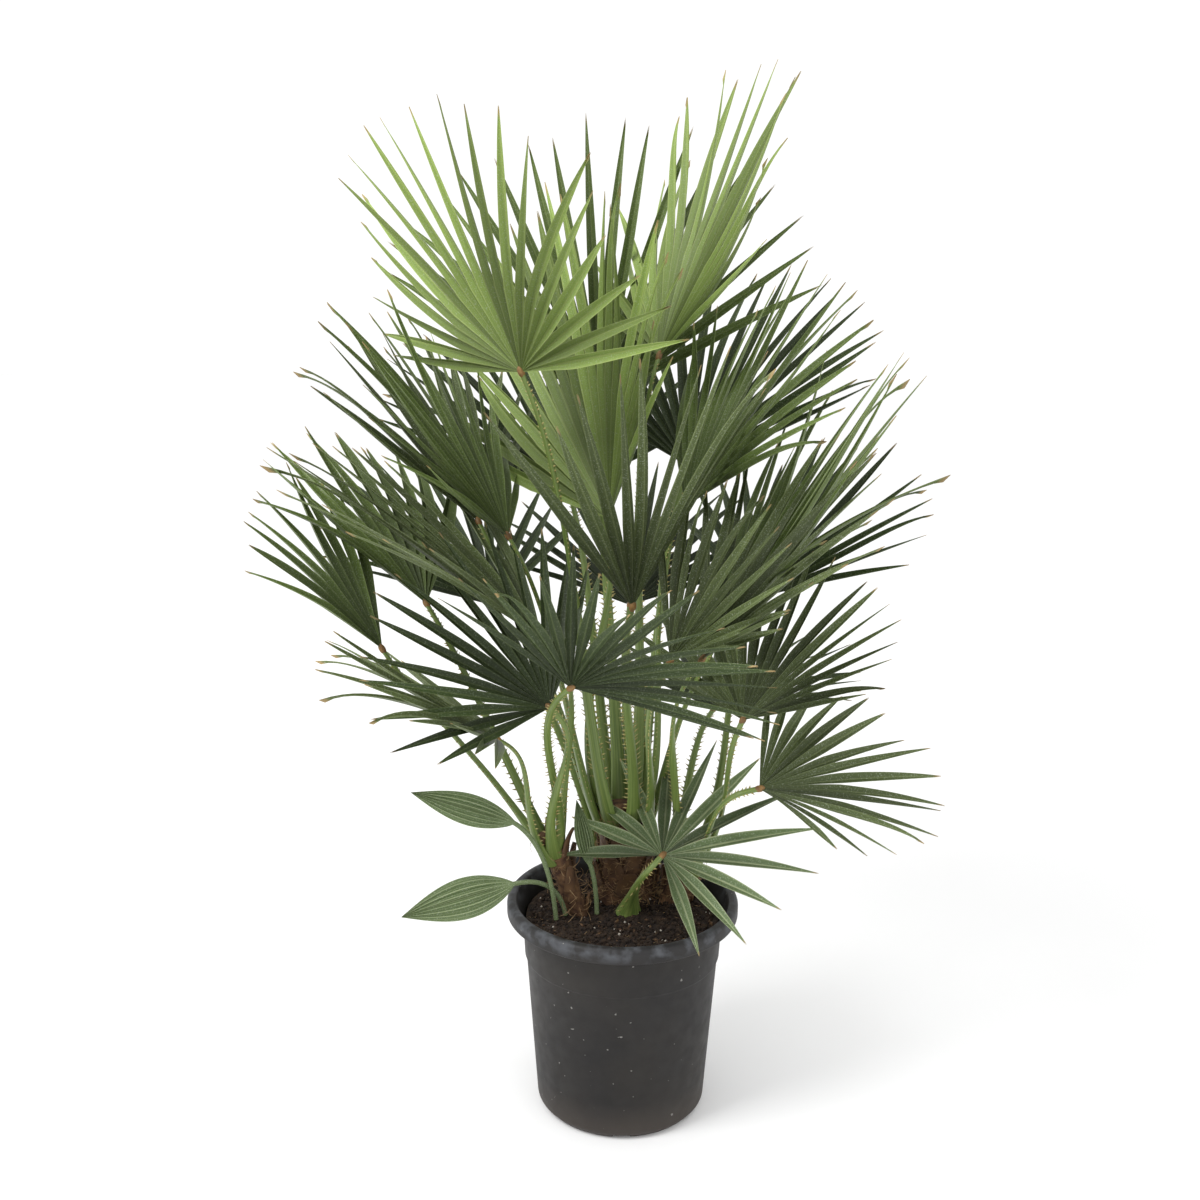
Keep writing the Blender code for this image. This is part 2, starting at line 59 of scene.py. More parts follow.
# Pot and soil, as in the model.
POT_HEIGHT = 0.27
RIM_RADIUS = 0.140
MOUTH_RADIUS = 0.131
UNDER_LIP_RADIUS = 0.1235
STEP_RADIUS = 0.1185
BODY_TOP_RADIUS = 0.1165
BODY_FOOT_RADIUS = 0.1035
FOOT_RADIUS = 0.096
STEP_HEIGHT = 0.196
LIP_HEIGHT = 0.0185
WALL = 0.003
FLOOR = 0.009
NOTCHES = 6
NOTCH_WIDTH = 0.020
NOTCH_HEIGHT = 0.005
SOIL_LEVEL = 0.248
AXIS_HOLE = 0.0005
NOTCH_STEEPNESS = 60
SOIL_RINGS = 90
SOIL_DROP = 0.001
SCATTER_REACH = 0.112
LUMP_REACH = (0.55, 1.1)
LYING_FLAT = 0.35
RESTING_SHARE = 0.4

# Stems: feet and tops in centimetres from the pot's axis and underside, and radii in centimetres.
Stem = namedtuple("Stem", "name foot top foot_radius top_radius")
STEMS = {
    stem.name: stem
    for stem in (
        Stem("main", (0.5, 5.5), (0.0, 6.0, 36.5), 3.9, 2.5),
        Stem("left", (-5.4, 0.2), (-9.0, 0.4, 35.0), 1.2, 1.4),
        Stem("right", (6.6, 3.2), (8.6, 3.6, 33.0), 2.1, 1.4),
    )
}
BOOT_RELIEF = 0.07
FIBRE_RELIEF = 0.012
WRAP_TURNS = 3.2
LEDGE_TURNS = 4.5
STEM_ROWS = 70
STEM_SIDES = 72
STEM_CLOSE = (0.92, 0.72, 0.35)
GOLDEN_TURN = 137.5
BOOTS_ROUND = {"main": 5, "left": 3, "right": 4}
BOOT_COUNTS = {"main": 26, "left": 7, "right": 10}
BOOT_THICK = 0.0028
BOOT_WIDTH = 0.52
BOOT_LENGTHS = (0.022, 0.038)
BOOT_LEANS = (0.10, 0.32)
BOOT_SET_IN = 0.94
BOOT_TAPERS = (0.55, 0.35)
HAIR_COUNTS = {"main": 800, "left": 110, "right": 180}
HAIR_RADIUS = 0.00050
HAIR_RISE = (-0.8, 1.0)
HAIR_LENGTHS = (0.008, 0.026)
HAIR_SET_OUT = 1.03
HAIR_BOW = 0.4
HAIR_TAPER = 0.6
SOIL_FEET = {"h": (0.7, 0.3)}

# Fronds. The petiole leaves its stem at a turn about it and a rise; the blade opens from its hub along a
# bearing and a lift, rolled about that line, as far as its reach and over its spread. Flank is the share of
# the reach that the outer leaflets have, joined the share of it in the sheet, and droop the share that it
# sinks. Lengths are in centimetres and angles in degrees.
Frond = namedtuple(
    "Frond", "name stem turn rise hub bearing lift roll reach spread leaflets cup flank joined droop"
)
FRONDS = (
    Frond("a", "main", 235, 35.0, (-11.5, -8.0, 91.0), 205, 66, 165, 31.0, 176, 17, 0, 0.82, 0.34, 0.03),
    Frond("b", "main", 180, 36.5, (-2.0, 3.0, 73.0), 125, 73, 93, 40.5, 130, 15, 14, 0.75, 0.42, 0.02),
    Frond("c", "main", 60, 36.5, (3.5, 5.0, 91.5), 42, 68, 22, 36.0, 145, 15, 6, 0.80, 0.36, 0.03),
    Frond("d", "main", 340, 35.5, (6.5, -2.0, 75.5), 11, 62, -5, 31.5, 120, 14, 5, 0.85, 0.28, 0.03),
    Frond("e", "main", 95, 36.3, (-3.2, 20.0, 84.5), 90, 85, 10, 36.0, 127, 14, 5, 0.90, 0.30, 0.03),
    Frond("f", "right", 335, 31.0, (13.5, -4.0, 51.0), 50, 49, 3, 23.5, 160, 15, 20, 0.80, 0.28, 0.04),
    Frond("g", "right", 295, 28.5, (15.0, -10.0, 45.0), 15, 7, -29, 22.5, 140, 13, 20, 0.50, 0.18, 0.06),
    Frond("h", "soil", 300, 0, (4.5, -5.0, 34.5), 39, 31, -13, 20.5, 253, 13, 0, 0.58, 0.16, 0.06),
    Frond("k", "left", 232, 32.5, (-14.5, -8.0, 50.0), 191, 34, -7, 24.0, 165, 14, 4, 0.75, 0.22, 0.04),
    Frond("l", "left", 180, 34.8, (-27.5, -5.0, 59.5), 185, 59, 20, 24.5, 76, 7, 6, 0.85, 0.45, 0.04),
    Frond("m", "left", 280, 33.5, (-8.5, -9.0, 54.0), 179, 46, 44, 25.0, 140, 12, 12, 0.75, 0.20, 0.04),
    Frond("n", "left", 125, 34.0, (-23.0, 0.0, 63.5), 142, 48, -7, 27.5, 98, 9, 12, 0.90, 0.45, 0.03),
    Frond("o", "main", 195, 33.5, (-13.5, 0.0, 71.5), 162, 58, -10, 34.0, 141, 15, 4, 0.75, 0.28, 0.03),
    Frond("p", "main", 165, 33.0, (-17.5, 8.0, 71.5), 135, 51, -10, 30.0, 108, 12, 9, 0.88, 0.25, 0.05),
    Frond("q", "left", 25, 34.5, (-9.5, -4.5, 60.5), 176, 41, -2, 38.0, 112, 13, 14, 0.75, 0.14, 0.03),
    Frond("r", "main", 290, 34.0, (0.5, -12.0, 66.5), 299, 66, -10, 32.0, 84, 9, 17, 0.92, 0.18, 0.03),
    Frond("s", "left", 330, 34.2, (-6.0, -17.0, 59.0), 312, 38, 37, 24.0, 150, 15, 0, 0.85, 0.22, 0.05),
    Frond("t", "main", 10, 33.0, (11.0, 0.0, 59.5), 2, 59, -2, 41.0, 112, 13, 11, 0.75, 0.33, 0.03),
    Frond("u", "right", 215, 31.5, (8.0, -13.0, 61.0), 352, 56, -18, 30.5, 109, 12, 14, 0.75, 0.25, 0.04),
    Frond("ta", "main", 320, 32.0, (4.5, -15.0, 61.5), 340, 62, -60, 22.0, 90, 9, 5, 0.75, 0.15, 0.04),
    Frond("v", "main", 55, 33.0, (8.0, 22.0, 76.0), 60, 55, 0, 33.0, 140, 14, 10, 0.80, 0.28, 0.03),
    Frond("w", "main", 112, 32.8, (-7.0, 24.0, 72.0), 112, 50, 0, 33.0, 140, 14, 10, 0.80, 0.28, 0.03),
    Frond("x", "right", 45, 31.0, (17.0, 17.0, 60.0), 40, 45, 0, 29.0, 140, 13, 10, 0.80, 0.26, 0.04),
    Frond("y", "main", 145, 29.0, (-17.0, 20.0, 58.0), 135, 40, 0, 29.0, 140, 13, 10, 0.80, 0.26, 0.04),
    Frond("z", "main", 85, 31.0, (1.0, 28.0, 56.0), 85, 35, 0, 29.0, 150, 13, 10, 0.80, 0.26, 0.04),
    Frond("aa", "right", 110, 28.0, (12.0, 20.0, 44.0), 60, 20, 0, 23.0, 160, 12, 10, 0.80, 0.24, 0.06),
)

# Tone of each frond's leaf, as lit and shaded copies of one green: the crown's top has painted light, its
# middle is greyer with some fronds in painted half shade, and its inside and back have painted shade.
FRONDS_OF_TONE = {
    "painted_light": ("a", "b", "c"),
    "painted_half_shade": ("d", "e", "t", "n", "l", "o"),
    "painted_shade": ("v", "w", "x", "y", "z", "aa", "s", "m"),
    "young": ("h",),
}
TONES = {name: tone for tone, names in FRONDS_OF_TONE.items() for name in names}

# Young leaves that haven't opened, in centimetres.
Bud = namedtuple("Bud", "name foot base tip half_width")
BUDS = (
    Bud("young_leaf_low", (-6.9, -1.0, 24.83), (-13.0, -4.0, 30.3), (-25.8, -8.0, 27.9), 2.3),
    Bud("young_leaf_high", (-8.0, -2.2, 24.83), (-12.9, -4.2, 38.2), (-24.7, -5.0, 42.2), 1.7),
    Bud("young_leaf_upright", (-3.1, -0.6, 24.83), (-4.0, -0.8, 31.5), (-5.6, -1.6, 40.0), 0.9),
)
BUD_PETIOLE = 0.0028
BUD_FACING = (0.0, -0.8, 0.6)

# Petioles, spines and blades, in metres or as shares.
PETIOLE_FOOT = 0.0085
PETIOLE_TIP = 0.0036
PETIOLE_FLATNESS = 0.62
HUB_STUB = 0.012
CLEARANCE = 0.0006
PETIOLE_SPLAY = 0.25
LEAVE_SHARE = 0.35
ARRIVE_SHARE = 0.25
FOOT_SUNK = (0.010, 0.012)
FOOT_SUNK_FADE = 16

LEAF_SKIN = 0.0005
LEAF_WIDTHS = (0.0071, 0.0108)
FOLD = 0.85
FINER = 1.25
LEAF_ROWS = 22
ACROSS = np.linspace(-1.0, 1.0, 5)
TIP_CLEFT = 0.035
HUB_ROWS = 6
HUB_START = 0.02
SHORTEST = 0.93
WANDER = 0.22
TWIST = 0.7
RAISED = 0.055
CURLED_SHARE = 0.12
CURL = (0.02, 0.08)
TIP_TAPER = 0.94
FOLD_FADE = 0.45
SHRINK_TRIES = 14
SHRINK = 0.975
BACK_BOW = 0.5
LEAF_SHADES = (0.60, 1.30)
# The next range darkens every leaflet towards its hub: painted shade inside the fan.
HUB_PAINTED_SHADE = (0.58, 0.56)
BOX_MARGIN = 0.0008
HUB_SIZE = (0.0042, 0.0036, 0.0068)
PETIOLE_SPANS = 26
PETIOLE_SIDES = 12
SHEATH_WIDTH = 0.005
SIDE_STEM_SHARE = 0.7
SHEATH_FADE = 14
SOIL_FOOT_FADE = 5
SOIL_FOOT_ROUND = 0.8
WIDE_LEAVED = {"h": 0.0115}
SOIL_FOOT_WIDTH = 0.013
SPINE_SPACING = 0.0085
SPINE_STRAY = 0.3
SPINE_LENGTH = 0.0068
SPINE_LENGTHS = (0.55, 1.0)
SPINE_SCALES = (0.8, 1.2)
SPINE_RUN = (0.10, 0.93)
SPINE_FULL_WIDTH = 0.005
SPINE_SET_IN = 0.93
SPINE_BASE = (0.0015, 0.0007)
SPINE_LEAN = 0.55
MAP_SHIFT = 0.37
BUD_TIP = 0.0003
BUD_PLEATS = 3.5
BUD_PLEAT_DEPTH = 0.85
BUD_SIDES = 80
BUD_ROWS = 44
BUD_RISE = 0.55
BUD_LEAN = 0.15
BUD_STATIONS = (0, 0.22, 0.45, 0.7, 0.9, 1)
BUD_THICKS = (0.0022, 0.0045, 0.0050, 0.0040, 0.0025, 0.0005)
POT_SIDES = 216
SOIL_SIDES = 300

# Light and camera.
SKY_STRENGTH = 1.08
LAMP_AIM = (0, 0, 0.6)
FLOOR_REACH = 8
LENS = 45
SENSOR = 36
CAMERA_PLACE = (-0.030, -1.670, 1.0823)
CAMERA_DOWN = 14.81
CAMERA_ROLL = 0.0074
LAMPS = (("key", (-1.9, -1.2, 2.8), 1.2, 62.0), ("fill", (1.6, -1.8, 1.4), 2.0, 8.0))


def unit(v):
    """A vector, or each row of an array of vectors, at length one."""
    v = np.asarray(v, float)
    return v / np.linalg.norm(v, axis=-1, keepdims=True)


def turned(rng, count):
    """Directions spread evenly over the sphere at random."""
    z = rng.uniform(-1, 1, count)
    a = rng.uniform(0, 2 * pi, count)
    r = np.sqrt(1 - z * z)
    return np.stack([r * np.cos(a), r * np.sin(a), z], -1)


def lumps(x, y, rng, waves, low, high):
    """A bumpy field: a sum of sine waves of random direction, phase and frequency between low and high."""
    total = np.zeros_like(x)
    for _ in range(waves):
        f = np.exp(rng.uniform(np.log(low), np.log(high)))
        a = rng.uniform(0, 2 * pi)
        total += np.sin(f * (x * np.cos(a) + y * np.sin(a)) + rng.uniform(0, 2 * pi)) / waves**0.5
    return total


def piece(name, points, faces, finish, nodes=(), uv=None, smooth=40, tone=None):
    """One object from arrays of points and faces, with its finish, its ride and the nodes it replaces. The
    map uv and the number tone are given for each point; edges sharper than smooth degrees stay sharp."""
    mesh = bpy.data.meshes.new(name)
    points = np.asarray(points, np.float32).reshape(-1, 3)
    if isinstance(faces, np.ndarray):
        mesh.vertices.add(len(points))
        mesh.vertices.foreach_set("co", points.ravel())
        sides = faces.shape[1]
        mesh.loops.add(faces.size)
        mesh.loops.foreach_set("vertex_index", faces.ravel().astype(np.int32))
        mesh.polygons.add(len(faces))
        mesh.polygons.foreach_set("loop_start", np.arange(0, faces.size, sides, dtype=np.int32))
        mesh.update(calc_edges=True)
    else:
        mesh.from_pydata(points.tolist(), [], faces)
    if uv is not None:
        layer = mesh.uv_layers.new(name="along")
        index = np.zeros(len(mesh.loops), np.int32)
        mesh.loops.foreach_get("vertex_index", index)
        layer.uv.foreach_set("vector", np.asarray(uv, np.float32)[index].ravel())
    if tone is not None:
        layer = mesh.attributes.new("tone", "FLOAT", "POINT")
        layer.data.foreach_set("value", np.asarray(tone, np.float32))
    mesh.validate()
    if smooth:
        mesh.shade_smooth()
        mesh.set_sharp_from_angle(angle=radians(smooth))
    mesh.materials.append(finish)
    made = bpy.data.objects.new(name, mesh)
    bpy.context.scene.collection.objects.link(made)
    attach(made, "root")
    if nodes:
        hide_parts(*nodes)
    return made


def grid_faces(rows, columns, wrap=True):
    """Quads of one grid, rows along and columns across, closed across when it wraps."""
    r = np.arange(rows - 1)[:, None]
    c = np.arange(columns if wrap else columns - 1)[None, :]
    n = (c + 1) % columns
    quads = [r * columns + c, r * columns + n, (r + 1) * columns + n, (r + 1) * columns + c]
    return np.stack([np.broadcast_to(q, (rows - 1, c.size)) for q in quads], -1).reshape(-1, 4)


def many(faces, count, stride):
    """The same faces for each of a row of like shapes."""
    return (faces[None] + stride * np.arange(count)[:, None, None]).reshape(-1, faces.shape[1])


def tube(path, side, width, thick, sides):
    """Rings of an oval section carried along a path: the centre plus width cos t to the side and
    thick sin t along the normal of path and side."""
    ahead = unit(np.gradient(path, axis=0))
    side = unit(side - ahead * (side * ahead).sum(-1, keepdims=True))
    out = np.cross(ahead, side)
    t = 2 * pi * np.arange(sides) / sides
    ring = np.cos(t)[None, :, None] * side[:, None] * np.reshape(width, (-1, 1, 1))
    ring = ring + np.sin(t)[None, :, None] * out[:, None] * np.reshape(thick, (-1, 1, 1))
    return path[:, None] + ring


def capped(rows, sides, start=0):
    """Faces of a tube with a polygon on each end."""
    quads = (grid_faces(rows, sides) + start).tolist()
    ends = [tuple(start + np.arange(sides)[::-1]), tuple(start + (rows - 1) * sides + np.arange(sides))]
    return quads + [tuple(int(i) for i in end) for end in ends]


# Shader node groups and materials.
def add(tree, kind, links=(), **settings):
    """A node with its settings; links are (input, source) pairs, a source being a socket or a value."""
    made = tree.nodes.new("ShaderNode" + kind)
    for key, value in settings.items():
        setattr(made, key, value)
    for name, source in links:
        if isinstance(source, bpy.types.NodeSocket):
            tree.links.new(source, made.inputs[name])
        else:
            made.inputs[name].default_value = source
    return made


def times(tree, first, second):
    """The product of two numbers, each a socket or a value."""
    return add(tree, "Math", [(0, first), (1, second)], operation="MULTIPLY").outputs[0]


def ramp(tree, source, stops):
    """A source number turned into another by stops of (place, value)."""
    made = add(tree, "ValToRGB", [("Fac", source)])
    elements = made.color_ramp.elements
    while len(elements) < len(stops):
        elements.new(0.5)
    for element, (place, shade) in zip(elements, stops):
        element.position = place
        element.color = (shade, shade, shade, 1)
    return made.outputs["Color"]


def new_group(name, inputs, outputs):
    """A node group with named sockets, and its input and output nodes."""
    tree = bpy.data.node_groups.new(name, "ShaderNodeTree")
    for label, kind, value in inputs:
        made = tree.interface.new_socket(name=label, in_out="INPUT", socket_type="NodeSocket" + kind)
        made.default_value = value
    for label, kind in outputs:
        tree.interface.new_socket(name=label, in_out="OUTPUT", socket_type="NodeSocket" + kind)
    return tree, tree.nodes.new("NodeGroupInput"), tree.nodes.new("NodeGroupOutput")


def blend(tree, factor, first, second, way="MIX"):
    """A mix of two colours; each of the three is a socket or a value."""
    made = tree.nodes.new("ShaderNodeMix")
    made.data_type = "RGBA"
    made.blend_type = way
    for index, source in ((0, factor), (6, first), (7, second)):
        if isinstance(source, bpy.types.NodeSocket):
            tree.links.new(source, made.inputs[index])
        else:
            made.inputs[index].default_value = source
    return made.outputs[2]


def mottle_group():
    """Cloudy change between two colours, and its height."""
    tree, given, result = new_group(
        "mottle",
        [
            ("Base", "Color", (1, 1, 1, 1)),
            ("Other", "Color", (0, 0, 0, 1)),
            ("Scale", "Float", 20.0),
            ("Contrast", "Float", 0.5),
        ],
        [("Colour", "Color"), ("Height", "Float")],
    )
    place = add(tree, "TexCoord").outputs["Object"]
    broad = add(tree, "TexNoise", [("Vector", place), ("Scale", given.outputs["Scale"]), ("Detail", 6.0)])
    share = add(tree, "MapRange", [("Value", broad.outputs["Fac"]), ("From Min", 0.35), ("From Max", 0.68)])
    amount = times(tree, share.outputs["Result"], given.outputs["Contrast"])
    colour = blend(tree, amount, given.outputs["Base"], given.outputs["Other"])
    tree.links.new(colour, result.inputs["Colour"])
    tree.links.new(broad.outputs["Fac"], result.inputs["Height"])
    return tree


def lines_group():
    """Look of a leaflet from its own map: a paler midrib at the fold, pale margins, fine lengthwise lines,
    frosty specks, and a dry tip; the midrib, the margins and the lines are partly the leaf's own and partly
    painted highlight."""
    tree, given, result = new_group(
        "leaflet_lines",
        [
            ("Leaf", "Color", (0.1, 0.2, 0.05, 1)),
            ("Rib", "Color", (0.3, 0.4, 0.1, 1)),
            ("Dry", "Color", (0.33, 0.23, 0.11, 1)),
            ("Frost", "Color", (0.40, 0.45, 0.34, 1)),
            ("Frost Amount", "Float", 0.3),
        ],
        [("Colour", "Color"), ("Height", "Float"), ("Roughness", "Float")],
    )
    place = add(tree, "UVMap", uv_map="along").outputs["UV"]
    parts = add(tree, "SeparateXYZ", [("Vector", place)])
    centre = add(tree, "Math", [(0, parts.outputs["X"]), (1, 0.5)], operation="SUBTRACT")
    away = add(tree, "Math", [(0, centre.outputs[0])], operation="ABSOLUTE").outputs[0]
    # The paler midrib and margins are partly the leaf's own paler tissue and partly painted highlight.
    rib_and_highlight = ramp(tree, away, [(0.0, 0.6), (0.05, 0.4), (0.10, 0.0)])
    margin_and_highlight = ramp(tree, away, [(0.40, 0.0), (0.49, 0.60)])
    tip = ramp(tree, parts.outputs["Y"], [(0.965, 0.0), (0.99, 0.85)])
    scaled = add(tree, "VectorMath", [(0, place), (1, (26.0, 1.6, 0.0))], operation="MULTIPLY")
    lines = add(tree, "TexNoise", [("Vector", scaled.outputs[0]), ("Scale", 1.0), ("Detail", 2.0)])
    # The lines lighten as well as darken: partly the leaf's own lines, partly painted highlight.
    streak_and_highlight = ramp(tree, lines.outputs["Fac"], [(0.30, 0.66), (0.70, 1.25)])
    colour = blend(tree, 1.0, given.outputs["Leaf"], streak_and_highlight, "MULTIPLY")
    spots = add(tree, "TexNoise", [("Vector", add(tree, "TexCoord").outputs["Object"]), ("Scale", 700.0)])
    frost = ramp(tree, spots.outputs["Fac"], [(0.56, 0.0), (0.68, 1.0)])
    amount = times(tree, frost, given.outputs["Frost Amount"])
    for factor, name in ((rib_and_highlight, "Rib"), (margin_and_highlight, "Rib"), (amount, "Frost"), (tip, "Dry")):
        colour = blend(tree, factor, colour, given.outputs[name])
    tree.links.new(colour, result.inputs["Colour"])
    tree.links.new(lines.outputs["Fac"], result.inputs["Height"])
    rough = add(tree, "MapRange", [("Value", lines.outputs["Fac"]), ("To Min", 0.38), ("To Max", 0.6)])
    tree.links.new(rough.outputs["Result"], result.inputs["Roughness"])
    return tree


def new_material(name):
    """A material with its node tree and its shader."""
    made = bpy.data.materials.new(name)
    made.use_nodes = True
    return made, made.node_tree, made.node_tree.nodes["Principled BSDF"]


def place_group(tree, group, **values):
    """A group node with its inputs set by name, an underscore standing for a space."""
    made = tree.nodes.new("ShaderNodeGroup")
    made.node_tree = group
    for label, value in values.items():
        made.inputs[label.replace("_", " ")].default_value = value
    return made


def bump(tree, shader, height, strength, distance):
    """Relief on a shader: its normal leans by the slope of the height over the distance."""
    made = add(tree, "Bump", [("Height", height), ("Strength", strength), ("Distance", distance)])
    tree.links.new(made.outputs["Normal"], shader.inputs["Normal"])


def leaf_finish(name, leaf, rib_and_highlight, frost):
    """Stiff leathery leaflet: the group's lines and paler midrib, partly painted highlight, multiplied by
    each leaflet's own tone, a random tone with painted shade towards the hub.
    """
    made, tree, shader = new_material(name)
    lines = place_group(tree, LINES, Leaf=(*leaf, 1), Rib=(*rib_and_highlight, 1), Frost_Amount=frost)
    tone = add(tree, "Attribute", attribute_name="tone").outputs["Color"]
    tree.links.new(blend(tree, 1.0, lines.outputs["Colour"], tone, "MULTIPLY"), shader.inputs["Base Color"])
    tree.links.new(lines.outputs["Roughness"], shader.inputs["Roughness"])
    shader.inputs["Specular IOR Level"].default_value = 0.22
    bump(tree, shader, lines.outputs["Height"], 0.25, 0.0006)
    return made


def mottled_finish(name, base, other, scale, contrast, roughness, depth):
    """Cloudy two-tone finish with relief."""
    made, tree, shader = new_material(name)
    cloud = place_group(tree, MOTTLE, Base=(*base, 1), Other=(*other, 1), Scale=scale, Contrast=contrast)
    tree.links.new(cloud.outputs["Colour"], shader.inputs["Base Color"])
    shader.inputs["Roughness"].default_value = roughness
    bump(tree, shader, cloud.outputs["Height"], 0.5, depth)
    return made


def pot_finish():
    """Matte dark plastic with dusty clouds, pale specks, paler bluish grey patches over the lip and a dusty
    foot.
    """
    made, tree, shader = new_material("pot_plastic")
    dark, dusty = (0.009, 0.008, 0.008, 1), (0.020, 0.017, 0.014, 1)
    cloud = place_group(tree, MOTTLE, Base=dark, Other=dusty, Scale=9.0, Contrast=0.8)
    place = add(tree, "TexCoord").outputs["Object"]
    height = add(tree, "SeparateXYZ", [("Vector", place)]).outputs["Z"]
    grain = add(tree, "TexNoise", [("Vector", place), ("Scale", 60.0), ("Detail", 8.0)])
    # Paler bluish grey patches over the top of the lip, where the grain is high.
    lip = add(tree, "MapRange", [("Value", height), ("From Min", 0.250), ("From Max", 0.262)]).outputs[0]
    lip_patches = ramp(tree, grain.outputs["Fac"], [(0.45, 0.12), (0.66, 1.0)])
    colour = blend(tree, times(tree, lip, lip_patches), cloud.outputs["Colour"], (0.070, 0.074, 0.082, 1))
    specks = add(tree, "TexNoise", [("Vector", place), ("Scale", 170.0), ("Detail", 1.0)])
    speck = ramp(tree, specks.outputs["Fac"], [(0.765, 0.0), (0.79, 0.6)])
    colour = blend(tree, speck, colour, (0.30, 0.29, 0.27, 1))
    low = [("Value", height), ("From Min", 0.05), ("From Max", 0.0), ("To Max", 0.35)]
    dust = add(tree, "MapRange", low)
    colour = blend(tree, dust.outputs[0], colour, (0.11, 0.088, 0.072, 1))
    tree.links.new(colour, shader.inputs["Base Color"])
    rough = add(tree, "MapRange", [("Value", grain.outputs["Fac"]), ("To Min", 0.42), ("To Max", 0.72)])
    tree.links.new(rough.outputs["Result"], shader.inputs["Roughness"])
    shader.inputs["Specular IOR Level"].default_value = 0.3
    bump(tree, shader, grain.outputs["Fac"], 0.2, 0.0008)
    return made


def stalk_finish(name, base, other):
    """Yellow-green stalk with lengthwise fibres, read from its own map."""
    made, tree, shader = new_material(name)
    place = add(tree, "UVMap", uv_map="along").outputs["UV"]
    scaled = add(tree, "VectorMath", [(0, place), (1, (30.0, 4.0, 0.0))], operation="MULTIPLY")
    lines = add(tree, "TexNoise", [("Vector", scaled.outputs[0]), ("Scale", 1.0), ("Detail", 3.0)])
    share = ramp(tree, lines.outputs["Fac"], [(0.35, 0.0), (0.65, 1.0)])
    tree.links.new(blend(tree, share, (*base, 1), (*other, 1)), shader.inputs["Base Color"])
    shader.inputs["Roughness"].default_value = 0.42
    bump(tree, shader, lines.outputs["Fac"], 0.3, 0.0008)
    return made


MOTTLE = mottle_group()
LINES = lines_group()
# The leaf finishes are one green painted lit and shaded: the first brightened as painted light, the second
# dimmed as painted half shade, the fourth darkened as painted shade; the third is greyer, and the last is
# the young leaves' own colour.
LEAF_FINISH = {
    "painted_light": leaf_finish("leaf_bright", (0.185, 0.260, 0.060), (0.33, 0.40, 0.13), 0.30),
    "painted_half_shade": leaf_finish("leaf_fresh", (0.100, 0.145, 0.034), (0.22, 0.28, 0.10), 0.35),
    "grey": leaf_finish("leaf_grey", (0.078, 0.104, 0.034), (0.18, 0.22, 0.09), 0.42),
    "painted_shade": leaf_finish("leaf_deep", (0.032, 0.050, 0.014), (0.09, 0.12, 0.04), 0.22),
    "young": leaf_finish("leaf_young", (0.105, 0.150, 0.062), (0.42, 0.46, 0.27), 0.45),
}
STALK_FINISH = stalk_finish("stalk_green", (0.082, 0.135, 0.026), (0.180, 0.235, 0.060))
SPINE_FINISH = mottled_finish(
    "spine_straw", (0.45, 0.42, 0.16), (0.28, 0.18, 0.06), 90.0, 0.7, 0.5, 0.0003
)
FIBRE_FINISH = mottled_finish(
    "stem_fibre", (0.045, 0.018, 0.008), (0.16, 0.085, 0.036), 120.0, 0.9, 0.9, 0.004
)
SHEATH_FINISH = mottled_finish(
    "stem_sheath", (0.12, 0.062, 0.024), (0.045, 0.020, 0.010), 60.0, 0.9, 0.6, 0.002
)
HUB_FINISH = mottled_finish(
    "hub_crest", (0.24, 0.13, 0.035), (0.10, 0.05, 0.018), 150.0, 0.9, 0.6, 0.001
)
SOIL_FINISH = mottled_finish(
    "soil_crumb", (0.010, 0.005, 0.003), (0.050, 0.028, 0.014), 140.0, 0.8, 0.95, 0.003
)
PERLITE_FINISH = mottled_finish(
    "perlite", (0.62, 0.58, 0.52), (0.40, 0.34, 0.27), 200.0, 0.6, 0.9, 0.0005
)
STRAW_FINISH = mottled_finish(
    "straw", (0.36, 0.24, 0.12), (0.15, 0.08, 0.035), 120.0, 0.9, 0.8, 0.0005
)


# Pot and soil.
def lathe_points(profile, turns):
    """Each (radius, height) of the profile carried round the Z axis."""
    radius, height = np.array(profile).T
    ring = np.stack([np.cos(turns), np.sin(turns)], -1)
    flat = radius[:, None, None] * ring[None]
    return np.concatenate([flat, np.broadcast_to(height[:, None, None], (*flat.shape[:2], 1))], -1)


def arc(centre, radius, start, end, count):
    """Points of an arc in the (radius, height) plane, angles in degrees."""
    t = np.radians(np.linspace(start, end, count))
    return list(zip(centre[0] + radius * np.cos(t), centre[1] + radius * np.sin(t)))


def closed_lathe(profile, turns):
    """Points and outward faces of a profile that runs from the axis below, outside and up, to the axis."""
    points = lathe_points(profile, turns)
    return points, capped(len(profile), len(turns))


